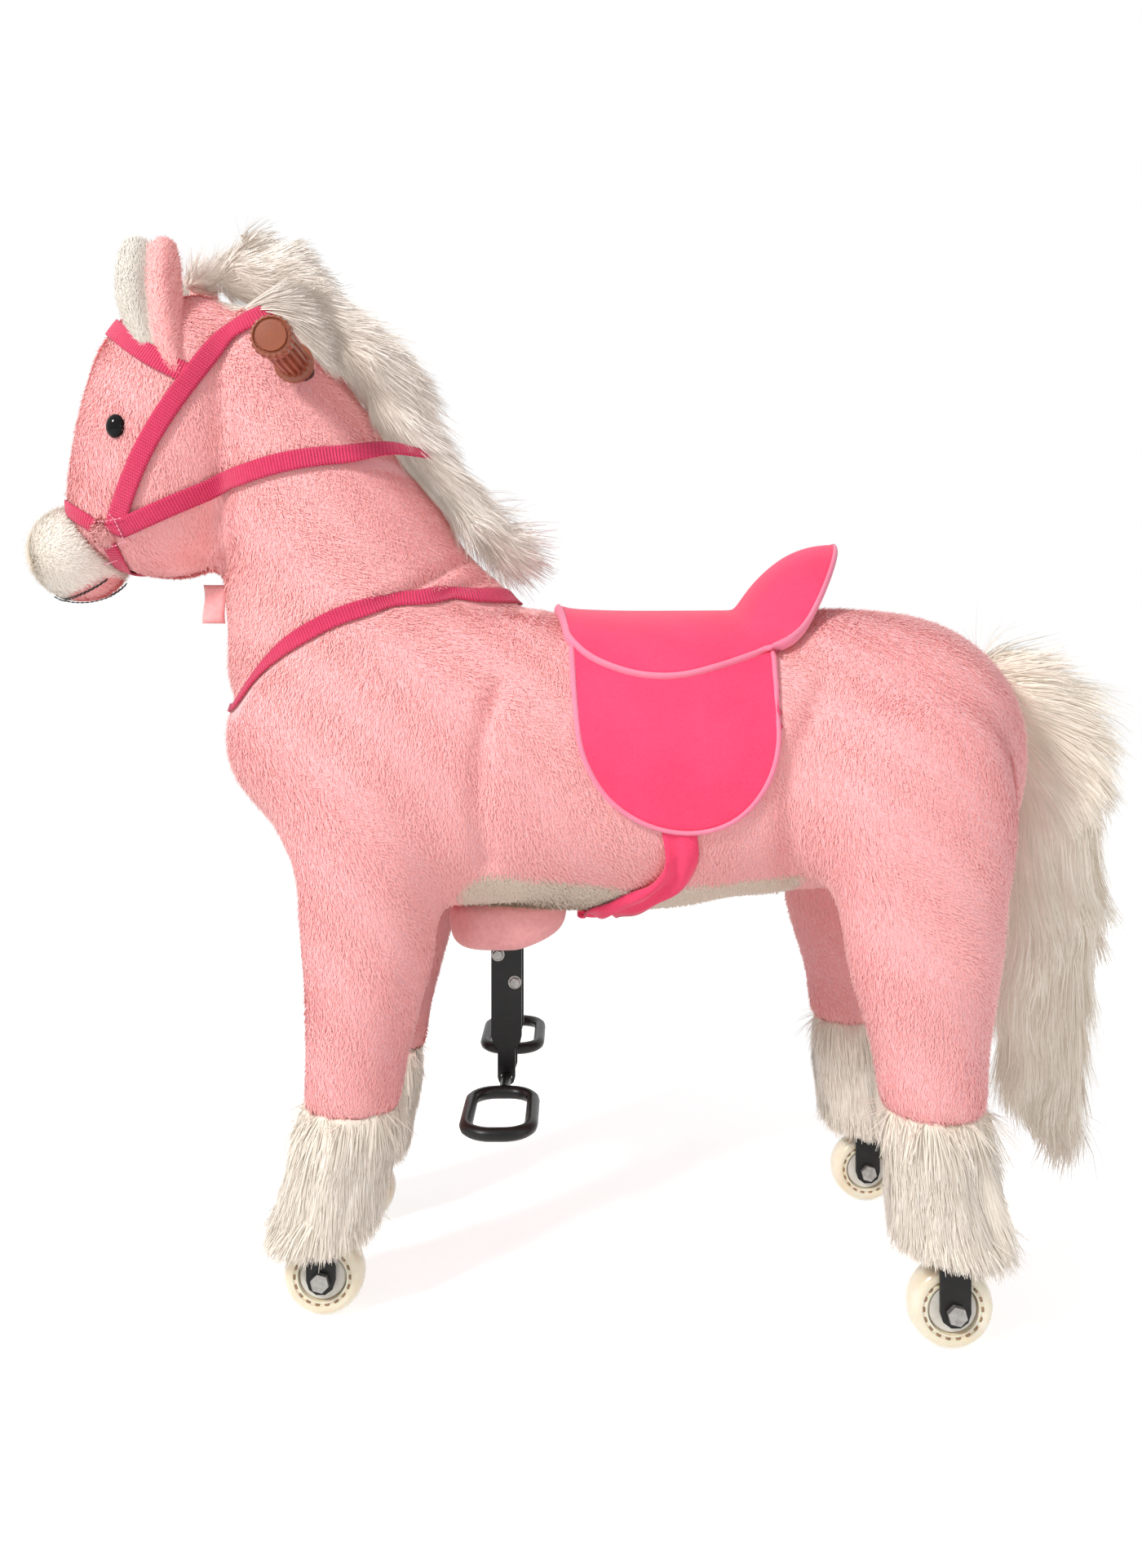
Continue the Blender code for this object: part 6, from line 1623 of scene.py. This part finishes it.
# %% The row tree
def row_tree():
    g, given = geometry_graph("row of beads", {"Geometry": "Geometry", "Spacing": "Float", "Size": "Vector",
                                               "Material": "Material"})
    line = g.add("GeometryNodeMeshToCurve", {}, {"Mesh": given})
    spaced = g.add("GeometryNodeResampleCurve", {"mode": "LENGTH"},
                   {"Curve": line, "Length": given.out("Spacing")})
    places = g.add("GeometryNodeCurveToPoints", {"mode": "EVALUATED"}, {"Curve": spaced})
    outward = g.add("GeometryNodeInputNamedAttribute", {"data_type": "FLOAT_VECTOR"}, {"Name": "outward"})
    turned_by = g.add("FunctionNodeAxesToRotation", {"primary_axis": "X", "secondary_axis": "Z"},
                      {"Primary Axis": places.out("Tangent"), "Secondary Axis": outward})
    bead = g.add("GeometryNodeMeshUVSphere", {}, {"Segments": 8, "Rings": 5, "Radius": 1.0})
    rows = g.add("GeometryNodeInstanceOnPoints", {}, {"Points": places, "Instance": bead,
                                                      "Rotation": turned_by, "Scale": given.out("Size")})
    real = g.add("GeometryNodeRealizeInstances", {}, {"Geometry": rows})
    smooth = g.add("GeometryNodeSetShadeSmooth", {}, {"Geometry": real})
    painted = g.add("GeometryNodeSetMaterial", {}, {"Geometry": smooth, "Material": given.out("Material")})
    g.add("NodeGroupOutput", {}, {0: painted})
    return g.tree


ROWS = row_tree()


def beads_along(name, lines, outwards, spacing, size, finish):
    """Beads along one or more lines; a line whose ends are one place is closed."""
    verts, edges, facing = [], [], []
    for line, outward in zip(lines, outwards):
        start = len(verts)
        closed = np.allclose(line[0], line[-1])
        rows = list(line[:-1] if closed else line)
        verts += [tuple(p) for p in rows]
        facing += [tuple(n) for n in outward[:len(rows)]]
        edges += [(start + k, start + k + 1) for k in range(len(rows) - 1)]
        if closed:
            edges.append((start + len(rows) - 1, start))
    mesh = bpy.data.meshes.new(f"{name}_line")
    mesh.from_pydata(verts, edges, [])
    set_field(mesh, "outward", facing, "FLOAT_VECTOR")
    made = grown(name, mesh, ROWS, {"Spacing": spacing, "Size": size, "Material": finish.material})
    return made


def ring_line(centre, radius, count=48):
    points = oval(centre, radius, radius, FORE, UP, count)
    return np.array([tuple(p) for p in points] + [tuple(points[0])])


# %% Castor wheels
MARK_RING, MARKS = 0.685, 18
for wheel in ("front_left", "front_right", "rear_left", "rear_right"):
    low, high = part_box(f"{wheel}_tyre")
    centre, radius, half = (low + high) / 2, (high.z - low.z) / 2, (high.y - low.y) / 2
    tread = [(radius * math.cos(t) * 0.20 + radius * 0.80, half * math.sin(t)) for t in
             np.linspace(-math.pi / 2, math.pi / 2, 13)]
    face = [(radius * r, half * along) for r, along in
            ((0.72, 0.985), (0.70, 0.90), (0.66, 0.88), (0.645, 0.95), (0.60, 0.95))]
    back = [(r, -along) for r, along in face[::-1]]
    rim = [(radius * 0.585, half * 0.6), (radius * 0.585, -half * 0.6)]
    profile = back + tread + face + rim
    tyre = turned(f"{wheel}_clear_tyre", profile + profile[:1], centre, SIDE, 64)
    dress(tyre, amber)
    disc = [(0.0045, -half * 0.86)] + [(radius * r, half * along) for r, along in (
        (0.53, -0.86), (0.56, -0.74), (0.578, -0.66), (0.578, 0.66), (0.56, 0.74), (0.53, 0.86))]
    disc.append((0.0045, half * 0.86))
    hub = turned(f"{wheel}_hub_disc", disc + disc[:1], centre, SIDE, 56)
    dress(hub, hub_white)
    rounds = [ring_line(centre + SIDE * (sign * half * 0.905), radius * MARK_RING) for sign in (-1, 1)]
    facings = [np.tile((0, sign, 0), (len(rounds[0]), 1)) for sign in (-1, 1)]
    marks = beads_along(f"{wheel}_marks", rounds, facings, math.tau * radius * MARK_RING / MARKS,
                        (0.0022, 0.0017, 0.0007), mark_brown)
    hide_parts(f"{wheel}_tyre")
    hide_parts(f"{wheel}_hub")
    for piece in (tyre, hub, marks):
        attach(piece, f"{wheel}_wheel")

# %% Foot loops
for side, sign in SIDES:
    low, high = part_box(f"foot_loop_{side}")
    rod = (high.z - low.z) * 0.58
    centre, half_x, half_y = (low + high) / 2, (high.x - low.x) / 2 - rod, (high.y - low.y) / 2 - rod
    corner, line = 0.020, []
    for quarter, (sx, sy) in enumerate(((1, 1), (-1, 1), (-1, -1), (1, -1))):
        for k in range(11):
            turn = math.pi / 2 * (quarter + k / 10)
            line.append((centre.x + sx * (half_x - corner) + corner * math.cos(turn),
                         centre.y + sy * (half_y - corner) + corner * math.sin(turn), centre.z))
    line = even_line(line, 0.003, closed=True)[0]
    loop = tape(f"foot_ring_{side}", line, np.tile((0.0, 0.0, 1.0), (len(line), 1)), rod, rod, closed=True)
    dress(loop, black_paint)
    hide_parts(f"foot_loop_{side}")
    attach(loop, "foot_lever")

# %% Hexagon heads on the hangers
BOLT_PLACES = (("upper", (-0.0622, 0.2726)), ("lower", (-0.0479, 0.2490)))
BOLT_HEAD = [(0.0048, -0.0006), (0.0048, 0.0028), (0.0040, 0.0036), (0.0010, 0.0036)]
WASHER = [(0.0056, 0.0), (0.0056, 0.0008), (0.0049, 0.0010), (0.0012, 0.0010)]
for side, sign in SIDES:
    low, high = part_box(f"pedal_hanger_{side}")
    face_y = low.y if sign < 0 else high.y
    for place, (x, z) in BOLT_PLACES:
        for kind, profile, count in (("bolt", BOLT_HEAD, 6), ("washer", WASHER, 28)):
            piece = turned(f"hanger_{place}_{kind}_{side}", profile, (x, face_y, z), SIDE * sign, count)
            dress(piece, zinc_finish)
            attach(piece, "foot_lever")

# %% Stitches on the straps and the mouth
thread = plain_finish("pale pink thread", (0.95, 0.42, 0.52), (0.85, 0.33, 0.44), 0.6, 300.0)
black_thread = plain_finish("black thread", (0.010, 0.009, 0.009), (0.03, 0.026, 0.024), 0.6, 300.0)


def two_sided(lines, outwards):
    return lines + [line * MIRROR for line in lines], outwards + [out * MIRROR for out in outwards]


BOX_STITCHES = (((127, 616), (138, 628), (146, 638), (156, 660)), ((122, 638), (136, 637), (151, 634)),
                ((129, 668), (143, 665), (158, 660)), ((133, 684), (147, 680)))
box_lines, box_outs = zip(*(along_skin(pixels, skin_tree, 0.0066) for pixels in BOX_STITCHES))
lines, outwards = two_sided(list(box_lines), list(box_outs))
strap_stitches = beads_along("strap_stitches", lines, outwards, 0.0034, (0.0014, 0.0005, 0.0004), thread)
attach(strap_stitches, "head_and_neck")
lines, outwards = two_sided([mouth, mouth + np.array((0.001, 0, 0.0016))], [mouth_out, mouth_out])
mouth_stitches = beads_along("mouth_stitches", lines, outwards, 0.0040, (0.0021, 0.0007, 0.0006),
                             black_thread)
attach(mouth_stitches, "head_and_neck")

# %% Cloth tab at the throat
TAB_LENGTH, TAB_WIDTH = 0.0335, 0.0190
tab_points = []
for i in range(9):
    for j in range(6):
        x, z = -0.3185 + TAB_WIDTH * j / 5, 0.589 - TAB_LENGTH * i / 8
        tab_points.append((x + 0.0008 * math.sin(i * 0.7), -0.004 + 0.0015 * math.sin(i * 0.5 + j * 0.6), z))
tab_grid = np.array(tab_points).reshape(9, 6, 3)
tab = strip_mesh("throat_tab", tab_grid, tab_grid + np.array((0, -0.0008, 0)), np.linspace(0, 0.033, 9),
                 np.linspace(0, 0.018, 6), False)
dress(tab, pale_cloth)
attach(tab, "head_and_neck")

# %% Carried steel
BLACK_NODES = ("main_frame", "steering_stem", "front_leg_shaft", "rear_leg_shaft", "front_link", "rear_link",
               "pedal_hanger_left", "pedal_hanger_right", "pedal_cross_rod", "foot_loop_left",
               "foot_loop_right", "front_fork_left", "front_fork_right")
for node, solid in cad_nodes.items():
    if "bolt" in node or node.endswith("pin"):
        finish = zinc_finish
    elif node == "seat_board":
        finish = plywood
    elif "tube" in node or node in BLACK_NODES:
        finish = black_paint
    else:
        continue
    solid.data.materials.clear()
    solid.data.materials.append(finish.material)

# %% [markdown]
# ## Camera, light and floor
#
# The pony is seen from its left side, level, from close by, so the far legs stand higher in the picture.
# A soft lamp on the upper left gives the plush its roundness, a weak one on the right opens the
# shadows, and the world is plain.

# %% Camera
camera = linked("camera", bpy.data.cameras.new("camera"))
camera.location = EYE_POINT
camera.rotation_euler = (math.pi / 2, 0, 0)
camera.data.lens = 26
camera.data.sensor_width = 36
camera.data.shift_y = -0.0578
camera.data.clip_start = 0.01
bpy.context.scene.view_settings.view_transform = "Standard"
bpy.context.scene.camera = camera


# %% Lamps, world and floor
def lamp(name, place, target, size, power, colour=(1, 1, 1)):
    data = bpy.data.lights.new(name, "AREA")
    data.shape, data.size, data.energy, data.color = "DISK", size, power, colour
    made = linked(name, data)
    made.location = place
    made.rotation_euler = (Vector(target) - Vector(place)).to_track_quat("-Z", "Y").to_euler()


lamp("key lamp", (-1.9, -2.0, 2.4), (0, 0, 0.45), 0.7, 92, (1.0, 0.98, 0.95))
lamp("fill lamp", (2.4, -1.6, 1.2), (0, 0, 0.4), 2.0, 12)
world = bpy.data.worlds.new("plain world")
world.use_nodes = True
bpy.context.scene.world = world
sky = Graph(world.node_tree)
backdrop = world.node_tree.nodes["Background"]
LIT_BY_SKY = 0.45


def seen_plainly(graph):
    """1 for a ray from the camera, or one that a glossy or clear surface sends on."""
    ray = graph.add("ShaderNodeLightPath")
    seen = ray.maths("MAXIMUM", ray.out("Is Camera Ray"), ray.out("Is Glossy Ray"))
    return ray.maths("MAXIMUM", seen, ray.out("Is Transmission Ray"))


sky.put(backdrop.inputs["Strength"], seen_plainly(sky) * (1 - LIT_BY_SKY) + LIT_BY_SKY)
backdrop.inputs["Color"].default_value = (1, 1, 1, 1)

floor = add_object("floor", [(-6, -3, 0), (6, -3, 0), (6, 9, 0), (-6, 9, 0)], [(0, 1, 2, 3)], smooth=False)
paper = Finish("floor paper", roughness=1.0, specular_ior_level=0.0, emission_strength=0.58)
paper.set("Base Color", paper.mix(paper.noise(2.0) * 0.1, (0.93, 0.93, 0.93), (0.90, 0.90, 0.90)))
paper.set("Emission Color", paper.mix(seen_plainly(paper), (0, 0, 0), (1, 1, 1)))
floor.data.materials.append(paper.material)
